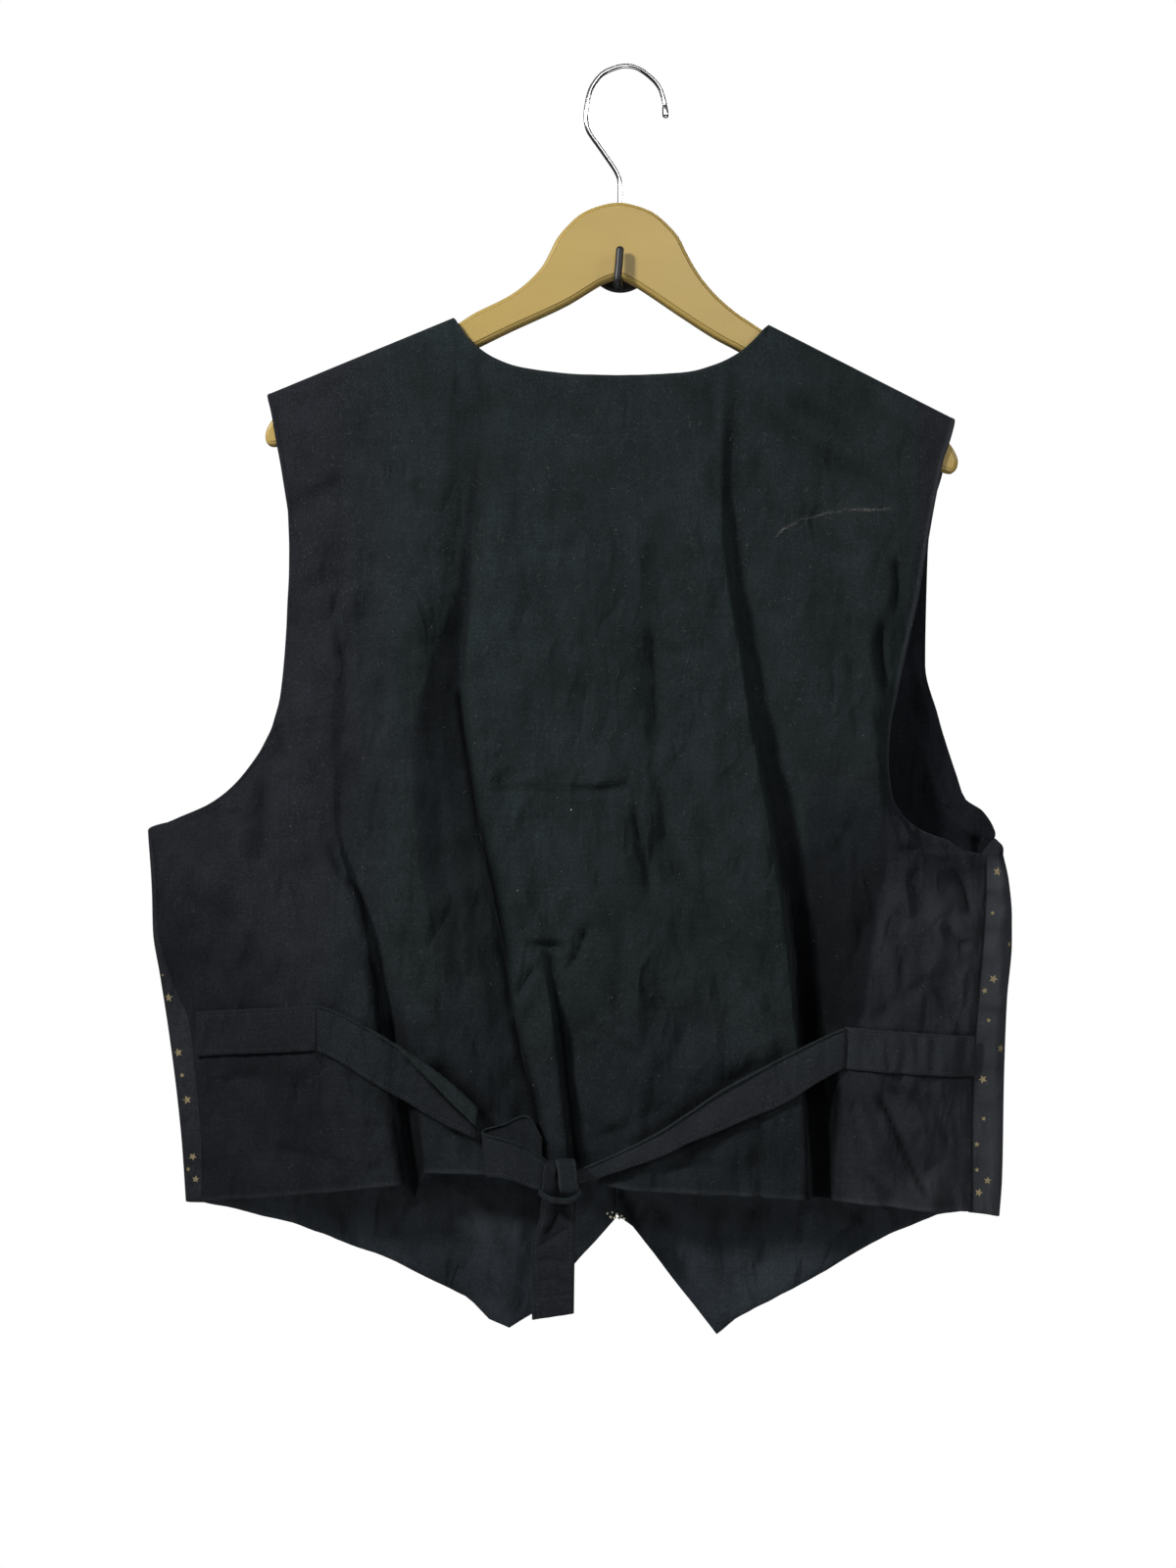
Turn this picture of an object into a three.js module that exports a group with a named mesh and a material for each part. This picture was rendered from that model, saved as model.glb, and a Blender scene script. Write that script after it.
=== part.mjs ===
import * as THREE from 'three';

// Suit waistcoat seen from behind, on a flat hanger that a wall hook carries.
// Millimetres, +Z up. The wall is the plane y = 0 and the garment's back looks
// along -Y. The origin is the centre of the wall hook plate, on the wall.

const CLOTH = 1.2;            // back and front cloth
const LINING = 1.0;           // lining cloth
const SEAM = 0.5;             // air between sewn pieces
const STRAP = 1.4;            // strap, two layers pressed
const HANGER_MID = -36;       // middle plane of the hanger
const HANGER_THICK = 12;
const RIDGE_BACK = HANGER_MID - 0.3;   // where the back ends over the arm
const RIDGE_FRONT = HANGER_MID + 0.15; // where the front ends over the arm
const LAP_X = -14;            // middle of the front closure
const LAP_HALF = 2.2;         // each front's shift where the two lap
const UNDERARM_TURN = 24;     // height over which a front turns round the side
const FRONT_Y = -14;          // flat part of the fronts

// ---------------------------------------------------------------- helpers
const lerp = (a, b, t) => a + (b - a) * t;
const clamp = (t) => Math.min(1, Math.max(0, t));
const smooth = (t) => { const k = clamp(t); return k * k * (3 - 2 * k); };

// value of a column of a table at key k, straight between its rows
function at(table, key, col, k) {
  const up = table[0][key] < table[table.length - 1][key];
  const t = up ? table : [...table].reverse();
  if (k <= t[0][key]) return t[0][col];
  for (let i = 1; i < t.length; i++) {
    if (k <= t[i][key]) {
      const f = (k - t[i - 1][key]) / (t[i][key] - t[i - 1][key]);
      return lerp(t[i - 1][col], t[i][col], f);
    }
  }
  return t[t.length - 1][col];
}

// heights of the rows of one column: marks with a number of steps to each
function ladder(marks) {
  const z = [marks[0].z];
  for (let m = 1; m < marks.length; m++) {
    const { z: end, n, bend = 1 } = marks[m];
    const start = marks[m - 1].z;
    for (let k = 1; k <= n; k++) z.push(lerp(start, end, 1 - (1 - k / n) ** bend));
  }
  return z;
}

// outward normals of a grid of points, facing the side given by flip
function normals(grid, flip) {
  const R = grid.length, C = grid[0].length;
  return grid.map((row, j) => row.map((p, i) => {
    const a = grid[j][Math.min(C - 1, i + 1)].clone().sub(grid[j][Math.max(0, i - 1)]);
    const b = grid[Math.min(R - 1, j + 1)][i].clone().sub(grid[Math.max(0, j - 1)][i]);
    return a.cross(b).normalize().multiplyScalar(flip);
  }));
}

// the same directions, evened out between neighbours along each row
function evened(nrm) {
  return nrm.map((row) => row.map((p, i) => p.clone().multiplyScalar(2)
    .add(row[Math.max(0, i - 1)]).add(row[Math.min(row.length - 1, i + 1)]).normalize()));
}

function offset(grid, nrm, d) {
  return grid.map((row, j) => row.map((p, i) => p.clone().addScaledVector(nrm[j][i], d)));
}

function finish(name, pos, idx, material) {
  const g = new THREE.BufferGeometry();
  g.setAttribute('position', new THREE.Float32BufferAttribute(pos, 3));
  g.setIndex(idx);
  g.computeVertexNormals();
  const m = new THREE.Mesh(g, material);
  m.name = name;
  return m;
}

// signed volume, to turn a closed skin so that it faces out
function signedVolume(pos, idx) {
  let v = 0;
  for (let k = 0; k < idx.length; k += 3) {
    const [a, b, c] = [idx[k], idx[k + 1], idx[k + 2]].map((q) => [pos[3 * q], pos[3 * q + 1], pos[3 * q + 2]]);
    v += a[0] * (b[1] * c[2] - b[2] * c[1]) + a[1] * (b[2] * c[0] - b[0] * c[2]) + a[2] * (b[0] * c[1] - b[1] * c[0]);
  }
  return v;
}

// closed sheet of cloth: two grids a thickness apart and a rim
function sheet(name, grid, thick, material, flip = 1) {
  const n = normals(grid, flip);
  const R = grid.length, C = grid[0].length;
  const pos = [], idx = [];
  for (const g of [offset(grid, n, thick / 2), offset(grid, n, -thick / 2)]) {
    for (const row of g) for (const p of row) pos.push(p.x, p.y, p.z);
  }
  const A = (j, i) => j * C + i;
  const B = (j, i) => R * C + j * C + i;
  for (let j = 0; j + 1 < R; j++) {
    for (let i = 0; i + 1 < C; i++) {
      idx.push(A(j, i), A(j, i + 1), A(j + 1, i + 1), A(j, i), A(j + 1, i + 1), A(j + 1, i));
      idx.push(B(j, i), B(j + 1, i + 1), B(j, i + 1), B(j, i), B(j + 1, i), B(j + 1, i + 1));
    }
  }
  const edge = [];
  for (let i = 0; i < C - 1; i++) edge.push([0, i]);
  for (let j = 0; j < R - 1; j++) edge.push([j, C - 1]);
  for (let i = C - 1; i > 0; i--) edge.push([R - 1, i]);
  for (let j = R - 1; j > 0; j--) edge.push([j, 0]);
  edge.forEach(([j, i], k) => {
    const [j2, i2] = edge[(k + 1) % edge.length];
    idx.push(A(j, i), B(j, i), B(j2, i2), A(j, i), B(j2, i2), A(j2, i2));
  });
  if (signedVolume(pos, idx) < 0) {
    for (let k = 0; k < idx.length; k += 3) [idx[k + 1], idx[k + 2]] = [idx[k + 2], idx[k + 1]];
  }
  return finish(name, pos, idx, material);
}

// round bar along a path of points
function bar(name, path, radius, sides, material) {
  const pos = [], idx = [];
  const n = path.length;
  let side = null;
  path.forEach((p, k) => {
    const t = path[Math.min(n - 1, k + 1)].clone().sub(path[Math.max(0, k - 1)]).normalize();
    if (!side) side = new THREE.Vector3(1, 0, 0).cross(t).length() > 0.3
      ? new THREE.Vector3(1, 0, 0) : new THREE.Vector3(0, 1, 0);
    side = side.clone().addScaledVector(t, -side.dot(t)).normalize();
    const up = t.clone().cross(side);
    for (let s = 0; s < sides; s++) {
      const a = (2 * Math.PI * s) / sides;
      const q = p.clone().addScaledVector(side, radius * Math.cos(a)).addScaledVector(up, radius * Math.sin(a));
      pos.push(q.x, q.y, q.z);
    }
  });
  for (let k = 0; k + 1 < n; k++) {
    for (let s = 0; s < sides; s++) {
      const a = k * sides + s, b = k * sides + ((s + 1) % sides);
      idx.push(a, b, b + sides, a, b + sides, a + sides);
    }
  }
  for (let s = 1; s + 1 < sides; s++) {
    idx.push(0, s + 1, s);
    const o = (n - 1) * sides;
    idx.push(o, o + s, o + s + 1);
  }
  if (signedVolume(pos, idx) < 0) {
    for (let k = 0; k < idx.length; k += 3) [idx[k + 1], idx[k + 2]] = [idx[k + 2], idx[k + 1]];
  }
  return finish(name, pos, idx, material);
}

// ---------------------------------------------------------------- colours
const mat = (color, metalness = 0, roughness = 0.9) => new THREE.MeshStandardMaterial({ color, metalness, roughness });
const BACK_CLOTH = mat(0x23282a);
const FRONT_CLOTH = mat(0x1c1e26);
const LINING_CLOTH = mat(0x202122);
const STRAP_CLOTH = mat(0x22272a);
const BUTTON_FACE = mat(0x17181b, 0, 0.4);
const HANGER_FACE = mat(0xb0995a, 0, 0.6);
const WIRE = mat(0xc8c8c8, 1, 0.2);
const BLACK_METAL = mat(0x111111, 0.6, 0.5);

// ---------------------------------------------------------------- outlines
const SHOULDER_LEFT = [{ x: -227.4, z: -96.2 }, { x: -107.7, z: -46.8 }];
const SHOULDER_RIGHT = [{ x: 94.7, z: -51.3 }, { x: 214.3, z: -112.1 }];
const NECK = [
  { x: -107.7, z: -46.8 }, { x: -98.8, z: -60.2 }, { x: -81.2, z: -74.1 }, { x: -68.7, z: -79.1 },
  { x: -47.2, z: -82.9 }, { x: -1.3, z: -85.4 }, { x: 41.2, z: -83.5 }, { x: 60.4, z: -78.4 },
  { x: 74.9, z: -70.9 }, { x: 84.3, z: -62.8 }, { x: 94.7, z: -51.3 },
];
const BACK_SIDE_LEFT = [
  { z: -96.2, x: -227.4, y: -36.3 }, { z: -102, x: -225.3, y: -43.6 }, { z: -127.6, x: -220.9, y: -43 },
  { z: -161.6, x: -215.3, y: -42 }, { z: -200, x: -213, y: -41 }, { z: -260.4, x: -215.9, y: -41 },
  { z: -305.7, x: -222.8, y: -41 }, { z: -322.7, x: -230.3, y: -40 }, { z: -337.1, x: -240.1, y: -39 },
  { z: -350.4, x: -252.3, y: -38 }, { z: -359.5, x: -264.6, y: -37 }, { z: -370, x: -289.2, y: -35 },
  { z: -377.3, x: -304.1, y: -33 }, { z: -416.2, x: -300.3, y: -33 }, { z: -440.9, x: -299.4, y: -33 },
  { z: -470.1, x: -291.1, y: -33 }, { z: -498.5, x: -279.1, y: -33 }, { z: -525.8, x: -276, y: -33 },
  { z: -584, x: -270.9, y: -33 }, { z: -616.3, x: -270.9, y: -33 },
];
const BACK_SIDE_RIGHT = [
  { z: -112.1, x: 214.3, y: -36.3 }, { z: -118, x: 212, y: -43.6 }, { z: -139.5, x: 206.1, y: -43 },
  { z: -192.4, x: 196.3, y: -42 }, { z: -260.4, x: 183.1, y: -41 }, { z: -308.2, x: 173, y: -41 },
  { z: -332.1, x: 171.2, y: -41 }, { z: -354.1, x: 173.7, y: -41 }, { z: -366.1, x: 179.7, y: -41 },
  { z: -378.1, x: 195.1, y: -41 }, { z: -383.1, x: 209.5, y: -40 }, { z: -390.1, x: 222.2, y: -39 },
  { z: -392.6, x: 234.4, y: -38 }, { z: -428.6, x: 234, y: -38 }, { z: -479, x: 230.3, y: -38 },
  { z: -510.6, x: 227.7, y: -38 }, { z: -567.4, x: 225.8, y: -38 }, { z: -621.6, x: 225.8, y: -38 },
];
const UNDERARM = [{ x: -304.1, z: -377.3 }, { x: 234.4, z: -392.6 }];

// Fold lines of the back. Each row is one line that runs from the top edge to
// the hem: its x and its depth y at the heights in STATION (the first and last
// stand for the top edge and the hem), the hem height, and how many strips of
// cloth lie between it and the line before.
const STATION = ['top', -170, -270, -370, -440, -510, -560, 'hem'];
const FOLDS = [
  { line: 'pleat_left_edge', cells: 4, hem: -600.6, x: [-184.7, -184.7, -184.7, -183, -163.3, -153.5, -145.5, -138.6], y: [-44.5, -50, -54, -57, -58, -58, -57, -55] },
  { line: 'pleat_left_valley', cells: 1, hem: -613, x: [-176, -177, -177, -175, -155, -146, -139, -132.4], y: [-44.5, -48, -50, -50, -46, -43, -41, -39] },
  { line: 'pleat_left_inner', cells: 2, hem: -595, x: [-146.2, -145.5, -143.5, -140.5, -134.3, -129.5, -126, -124], y: [-44.5, -49, -53, -56, -57, -58, -57, -54] },
  { line: 'soft_left', cells: 2, hem: -594.3, x: [-107.7, -98, -114, -122, -112, -105, -103, -102.5], y: [-44, -47, -50, -54, -57, -59, -58, -55] },
  { line: 'neck_left', cells: 1, hem: -594.5, x: [-104, -93, -110.5, -118, -107.5, -99.5, -97, -96.5], y: [-44.4, -47, -50, -54, -57, -59, -58, -55] },
  { line: 'crisp_left_valley', cells: 2, hem: -596, x: [-79, -94, -108, -97, -81, -69, -59, -55], y: [-44.8, -48, -51, -52, -52, -52, -51, -49] },
  { line: 'crisp_left_edge', cells: 1, hem: -597.2, x: [-71.1, -86, -100, -88.3, -72.5, -60.5, -50.6, -46.3], y: [-45.5, -50, -55, -59, -60, -60, -60, -57] },
  { line: 'crisp_mid_edge', cells: 2, hem: -599.4, x: [-48.7, -50, -51.1, -52.1, -50.3, -37.1, -32.2, -28.2], y: [-46, -51, -55, -60, -61, -62, -61, -58] },
  { line: 'crisp_mid_valley', cells: 1, hem: -600.6, x: [-40, -41.5, -42.5, -43.5, -42, -29, -24, -20.5], y: [-46, -49, -52, -55, -54, -53, -53, -51] },
  { line: 'centre', cells: 2, hem: -604.4, x: [-1, 1, 2.5, 5, 8.5, 10, 10, 10], y: [-46.5, -50, -55, -59, -60, -60, -59, -57] },
  { line: 'soft_right', cells: 2, hem: -607.6, x: [30, 24, 21, 27, 44, 52, 55, 58], y: [-46.5, -50, -52, -54, -56, -58, -58, -56] },
  { line: 'deep_right_edge', cells: 3, hem: -609.9, x: [66.2, 63.1, 75.2, 90.4, 101.7, 109.5, 113.4, 116.5], y: [-46, -51, -56, -60, -62, -62, -61, -58] },
  { line: 'deep_right_valley', cells: 1, hem: -612.4, x: [80, 74, 84.4, 104.5, 117.5, 121, 124, 127.2], y: [-45.5, -46.5, -47, -45, -42, -41, -40, -39] },
  { line: 'neck_right', cells: 1, hem: -612.2, x: [91.2, 87, 96, 114.5, 125.5, 129, 130.3, 132.4], y: [-44.4, -47, -49.5, -50, -49, -48, -47, -45] },
  { line: 'deep_right_inner', cells: 1, hem: -611.8, x: [94.7, 94, 104, 121, 131.4, 134.6, 134.6, 136], y: [-44, -48, -52, -55, -56, -56, -55, -52] },
  { line: 'right_ridge', cells: 2, hem: -614.2, x: [148.7, 151.5, 157, 162, 160, 157, 157, 158], y: [-44.5, -48, -53, -57, -58, -58, -57, -54] },
];
const SIDE_CELLS = 4;

const topAt = (x) => {
  if (x < NECK[0].x) return at(SHOULDER_LEFT, 'x', 'z', x);
  if (x > NECK[NECK.length - 1].x) return at(SHOULDER_RIGHT, 'x', 'z', x);
  return at(NECK, 'x', 'z', x);
};
const overArm = (x) => x <= NECK[0].x + 0.1 || x >= NECK[NECK.length - 1].x - 0.1;

// rows of a back column that starts at top and ends at hem
const backRows = (top, under, hem) => ladder([
  { z: top }, { z: top - 2, n: 1 }, { z: top - 6.5, n: 1 },
  { z: under, n: 12, bend: 1.35 }, { z: hem, n: 10 },
]);

function backGrid() {
  const lines = [];
  const left = backRows(BACK_SIDE_LEFT[0].z, UNDERARM[0].z, -616.3);
  lines.push({ cells: 0, pts: left.map((z) => ({ x: at(BACK_SIDE_LEFT, 'z', 'x', z), y: at(BACK_SIDE_LEFT, 'z', 'y', z), z })) });
  for (const f of FOLDS) {
    const top = topAt(f.x[0]);
    const table = STATION.map((s, k) => ({ z: s === 'top' ? top : s === 'hem' ? f.hem : s, x: f.x[k], y: f.y[k] }));
    const rows = backRows(top, at(UNDERARM, 'x', 'z', f.x[3]), f.hem);
    lines.push({ cells: f.cells, pts: rows.map((z) => ({ x: at(table, 'z', 'x', z), y: at(table, 'z', 'y', z), z })) });
  }
  const right = backRows(BACK_SIDE_RIGHT[0].z, UNDERARM[1].z, -621.6);
  lines.push({ cells: SIDE_CELLS, pts: right.map((z) => ({ x: at(BACK_SIDE_RIGHT, 'z', 'x', z), y: at(BACK_SIDE_RIGHT, 'z', 'y', z), z })) });

  return lines[0].pts.map((_, j) => {
    const row = [];
    lines.forEach((line, k) => {
      const b = line.pts[j];
      if (k === 0) { row.push(new THREE.Vector3(b.x, b.y, b.z)); return; }
      const a = lines[k - 1].pts[j];
      for (let c = 1; c <= line.cells; c++) {
        const t = c / line.cells;
        let w = smooth(t);
        if (k === 1) w = Math.sin((t * Math.PI) / 2);
        if (k === lines.length - 1) w = 1 - Math.cos((t * Math.PI) / 2);
        const x = lerp(a.x, b.x, t);
        // the top rows follow the shoulder line and the neck edge
        const z = j === 0 ? topAt(x) : lerp(a.z, b.z, t) + (j < 6 ? (topAt(x) - lerp(topAt(a.x), topAt(b.x), t)) * (1 - j / 6) : 0);
        row.push(new THREE.Vector3(x, lerp(a.y, b.y, w), z));
      }
    });
    // over the arm the cloth turns round its upper edge
    for (const p of row) {
      if (j < 2 && overArm(p.x)) p.y = j === 0 ? RIDGE_BACK : -41;
      else if (j === 2) p.y = Math.min(p.y, -43.8);
    }
    return row;
  });
}

// ---------------------------------------------------------------- fronts
const FRONT = {
  left: {
    sign: -1, neck: { x: -107.7, z: -46.8 }, tip: { x: -227.4, z: -96.2 }, under: -377.4, hemSide: -616.3, seamY: -33,
    edge: [ // front edge: the neck line down to the closure, then the lap
      { z: -46.8, x: -107.7 }, { z: -100, x: -84 }, { z: -160, x: -58.5 }, { z: -220, x: -35 }, { z: -285, x: -7 }, { z: -300, x: -3.5 }, { z: -630.7, x: -3.5 }],
    edgeHem: -630.7, pointTop: -158,
    armhole: [{ z: -96.2, x: -227.4 }, { z: -140, x: -211 }, { z: -200, x: -201 }, { z: -260, x: -202 }, { z: -310, x: -213 },
      { z: -345, x: -240 }, { z: -362, x: -270 }, { z: -372, x: -292 }, { z: -377.4, x: -305.6 }],
    seam: [{ z: -377.3, x: -304.1 }, { z: -416.2, x: -300.3 }, { z: -440.9, x: -299.4 }, { z: -470.1, x: -291.1 },
      { z: -498.5, x: -279.1 }, { z: -525.8, x: -276 }, { z: -584, x: -270.9 }, { z: -616.3, x: -270.9 }],
    side: [{ z: -377.5, x: -306.2 }, { z: -417, x: -303.8 }, { z: -441.4, x: -303.2 }, { z: -470.6, x: -298.7 },
      { z: -507.1, x: -293.1 }, { z: -546, x: -288 }, { z: -580.4, x: -284.5 }, { z: -616.7, x: -282 }],
    hem: [{ x: -282, z: -617.3 }, { x: -245.9, z: -625.6 }, { x: -213.8, z: -633.9 }, { x: -149.7, z: -657.6 }, { x: -99.7, z: -682 },
      { x: -85.6, z: -696.1 }, { x: -72.7, z: -701.3 }, { x: -56.7, z: -691 }, { x: -31, z: -660.8 }, { x: -3.5, z: -630.7 }],
    point: -72.7,
  },
  right: {
    sign: 1, neck: { x: 94.7, z: -51.3 }, tip: { x: 214.3, z: -112.1 }, under: -392.6, hemSide: -621.6, seamY: -38,
    edge: [
      { z: -51.3, x: 94.7 }, { z: -100, x: 68 }, { z: -160, x: 38 }, { z: -220, x: 11 }, { z: -285, x: -20.5 }, { z: -300, x: -25.3 }, { z: -602.6, x: -25.3 }],
    edgeHem: -602.6, pointTop: 145,
    armhole: [{ z: -112.1, x: 214.3 }, { z: -143.6, x: 208.5 }, { z: -170.5, x: 201.4 }, { z: -199.9, x: 198.9 }, { z: -268.5, x: 198.2 },
      { z: -300.5, x: 206.6 }, { z: -342.1, x: 220 }, { z: -355.6, x: 224.5 }, { z: -363.9, x: 236 }, { z: -376, x: 243.1 }, { z: -387.3, x: 245.7 }],
    seam: [{ z: -392.6, x: 234.4 }, { z: -428.6, x: 234 }, { z: -479, x: 230.3 }, { z: -510.6, x: 227.7 }, { z: -567.4, x: 225.8 }, { z: -621.6, x: 225.8 }],
    side: [{ z: -387.3, x: 245.7 }, { z: -410.2, x: 250.8 }, { z: -432.5, x: 252.7 }, { z: -448.4, x: 252.7 }, { z: -486.5, x: 249.5 },
      { z: -537.4, x: 247.6 }, { z: -601, x: 246.4 }, { z: -627.1, x: 244.5 }],
    hem: [{ x: -25.3, z: -602.6 }, { x: -2.1, z: -629.6 }, { x: 7.5, z: -636.1 }, { x: 20.4, z: -652.1 }, { x: 42.9, z: -681.1 },
      { x: 62.8, z: -706.2 }, { x: 76.4, z: -695.2 }, { x: 87.9, z: -688.8 }, { x: 133, z: -665 }, { x: 174.8, z: -641.2 },
      { x: 206.9, z: -628.3 }, { x: 226.2, z: -625.8 }, { x: 244.5, z: -626.1 }],
    point: 62.8,
  },
};
const SIDE_TURN = [   // how a front turns round the side, from its seam to its flat part
  { col: 'seam', in: 2, deep: 1.7, from: 'seam' },
  { col: 'strip', in: 0.5, deep: 1.9, from: 'mid' },
  { col: 'side', in: 0, deep: 0.3, from: 'side' },
  { col: 'turn', in: 3.5, deep: 0.68, from: 'side' },
  { col: 'flat', in: 13, deep: 0.96, from: 'side' },
];

function frontDepth(F, x, z, d) {
  if (d <= 0) return RIDGE_FRONT;
  const lap = LAP_HALF * F.sign * (1 - smooth((Math.abs(x - LAP_X) - 15) / 80));
  const flat = FRONT_Y + lap + 1.6 * Math.sin((x + 40) / 31) * smooth((d - 250) / 200);
  return lerp(-27.2, flat, smooth((d - 20) / 230));
}

function frontGrid(F) {
  const sideRows = ladder([{ z: F.tip.z }, { z: F.tip.z - 2, n: 1 }, { z: F.tip.z - 7, n: 1 },
    { z: F.under + 36, n: 7 }, { z: F.under, n: 4, bend: 1.25 }, { z: F.hemSide, n: 7 }]);
  const edgeRows = ladder([{ z: F.neck.z }, { z: F.neck.z - 2, n: 1 }, { z: F.neck.z - 7, n: 1 },
    { z: -285, n: 7 }, { z: -300, n: 1 }, { z: F.edgeHem, n: 10 }]);
  const frac = (rows) => rows.map((z) => (rows[0] - z) / (rows[0] - rows[rows.length - 1]));
  const fs = frac(sideRows), fe = frac(edgeRows);
  const cols = SIDE_TURN.length;
  const toPoint = 5, toEdge = 3;
  const total = cols - 1 + toPoint + toEdge;
  const hemZ = (x) => at(F.hem, 'x', 'z', x);
  const seamFar = F.side[F.side.length - 1].x;

  return fs.map((_, j) => {
    const row = [];
    // side columns
    SIDE_TURN.forEach((c, i) => {
      const hem = i < 2 ? lerp(F.hemSide, hemZ(seamFar), i * 0.5) - (i === 0 ? 0.6 : 0) : hemZ(seamFar - F.sign * c.in);
      const u = i / total;
      const f = lerp(fs[j], fe[j], u * u);
      const topX = F.tip.x - F.sign * i * 5.5;
      const top = lerp(F.tip.z, F.neck.z, (topX - F.tip.x) / (F.neck.x - F.tip.x));
      const z = lerp(top, hem, f);
      const zs = lerp(F.tip.z, F.hemSide, fs[j]);
      // form at the armhole
      const ax = at(F.armhole, 'z', 'x', i === 0 ? zs : Math.max(z, F.under)) - F.sign * i * 5.5;
      const near = smooth((zs - (F.under + 60)) / -60);
      const ay = frontDepth(F, ax, z, top - z) - near * 9 * (1 - i / 4);
      // form below the underarm
      const sx = at(F.seam, 'z', 'x', z), wx = at(F.side, 'z', 'x', z);
      const bx = c.from === 'seam' ? sx - F.sign * c.in : c.from === 'mid' ? lerp(sx, wx, 0.6) - F.sign * 0 : wx - F.sign * c.in;
      const flatY = frontDepth(F, wx - F.sign * 13, z, 400);
      const by = c.from === 'seam' || c.from === 'mid' ? F.seamY + c.deep : lerp(F.seamY + 2, flatY, c.deep);
      const w = smooth((zs - (F.under + UNDERARM_TURN)) / -UNDERARM_TURN);
      row.push(new THREE.Vector3(lerp(ax, bx, w), j < 3 ? frontDepth(F, ax, z, j === 0 ? 0 : top - z) : lerp(ay, by, w), z));
    });
    const flat = row[row.length - 1];
    // flat columns up to the hem point, then to the front edge
    for (let k = 1; k <= toPoint + toEdge; k++) {
      const u = (cols - 1 + k) / total;
      const f = lerp(fs[j], fe[j], u * u);
      const zEdge = lerp(F.neck.z, F.edgeHem, fe[j]);
      const ex = at(F.edge, 'z', 'x', zEdge);
      const px = lerp(F.pointTop, F.point, smooth((fs[j] - 0.05) / 0.7) * 0.6 + 0.4 * f);
      const x = k <= toPoint ? lerp(flat.x, px, k / toPoint) : lerp(px, ex, (k - toPoint) / toEdge);
      const topX = k <= toPoint ? lerp(F.tip.x - F.sign * 22, F.pointTop, k / toPoint) : lerp(F.pointTop, F.neck.x, (k - toPoint) / toEdge);
      const top = lerp(F.tip.z, F.neck.z, (topX - F.tip.x) / (F.neck.x - F.tip.x));
      const z = k === toPoint + toEdge ? zEdge : lerp(top, hemZ(x), f);
      row.push(new THREE.Vector3(x, frontDepth(F, x, z, j === 0 ? 0 : Math.max(0.1, j === 1 ? 2 : top - z)), z));
    }
    // over the arm the cloth turns round its upper edge
    row.forEach((p) => { if (j === 0) p.y = RIDGE_FRONT; if (j === 1) p.y = -30.4; if (j === 2) p.y = -27.3; });
    return row;
  });
}

// ---------------------------------------------------------------- straps
const group = new THREE.Group();
const back = backGrid();
group.add(sheet('back_panel', back, CLOTH, BACK_CLOTH));

for (const [key, F] of Object.entries(FRONT)) {
  const grid = frontGrid(F);
  const n = normals(grid, 1);
  // outward is away from the body: +Y on the flat part
  const mid = n[12][9].y > 0 ? 1 : -1;
  group.add(sheet(`front_${key}`, grid, CLOTH, FRONT_CLOTH));
  group.add(sheet(`lining_${key}`, offset(grid, evened(n), -mid * (CLOTH / 2 + SEAM + LINING / 2)), LINING, LINING_CLOTH));
}

// face of the back panel towards the viewer, at a place on it
const backNormals = normals(back, 1);
const backFace = offset(back, backNormals, backNormals[10][10].y < 0 ? CLOTH / 2 : -CLOTH / 2);
function faceY(x, z) {
  let best = 0;
  for (let j = 0; j + 1 < backFace.length; j++) {
    for (let i = 0; i + 1 < backFace[0].length; i++) {
      const [p, q, r, s] = [backFace[j][i], backFace[j][i + 1], backFace[j + 1][i + 1], backFace[j + 1][i]];
      for (const [a, b, c] of [[p, q, r], [p, r, s]]) {
        const det = (b.x - a.x) * (c.z - a.z) - (c.x - a.x) * (b.z - a.z);
        const u = ((x - a.x) * (c.z - a.z) - (c.x - a.x) * (z - a.z)) / det;
        const v = ((b.x - a.x) * (z - a.z) - (x - a.x) * (b.z - a.z)) / det;
        if (u >= -1e-6 && v >= -1e-6 && u + v <= 1 + 1e-6) best = Math.min(best, a.y + u * (b.y - a.y) + v * (c.y - a.y));
      }
    }
  }
  return best;
}
// nearest cloth within a reach, so that a band bridges the valleys
function bridge(x, z, reach) {
  let y = 0;
  for (let k = -2; k <= 2; k++) for (let m = -1; m <= 1; m++) y = Math.min(y, faceY(x + (k * reach) / 2, z + (m * reach) / 2));
  return y;
}

// sewn bands: the panel's own face moved out
const BASES = [
  { name: 'strap_left_base', x0: -273.6, x1: -193.2, n: 12, top0: -493.5, top1: -487, low0: -522, low1: -515 },
  { name: 'strap_right_base', x0: 141.5, x1: 226.8, n: 13, top0: -500.5, top1: -509, low0: -526.5, low1: -534.5 },
];
for (const b of BASES) {
  const grid = [];
  for (let r = 0; r <= 4; r++) {
    const row = [];
    for (let k = 0; k <= b.n; k++) {
      const t = k / b.n, x = lerp(b.x0, b.x1, t);
      const z = lerp(lerp(b.top0, b.top1, t), lerp(b.low0, b.low1, t), r / 4);
      row.push(new THREE.Vector3(x, bridge(x, z, 3) - STRAP / 2 - 0.7, z));
    }
    grid.push(row);
  }
  group.add(sheet(b.name, grid, STRAP, STRAP_CLOTH));
}

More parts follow.
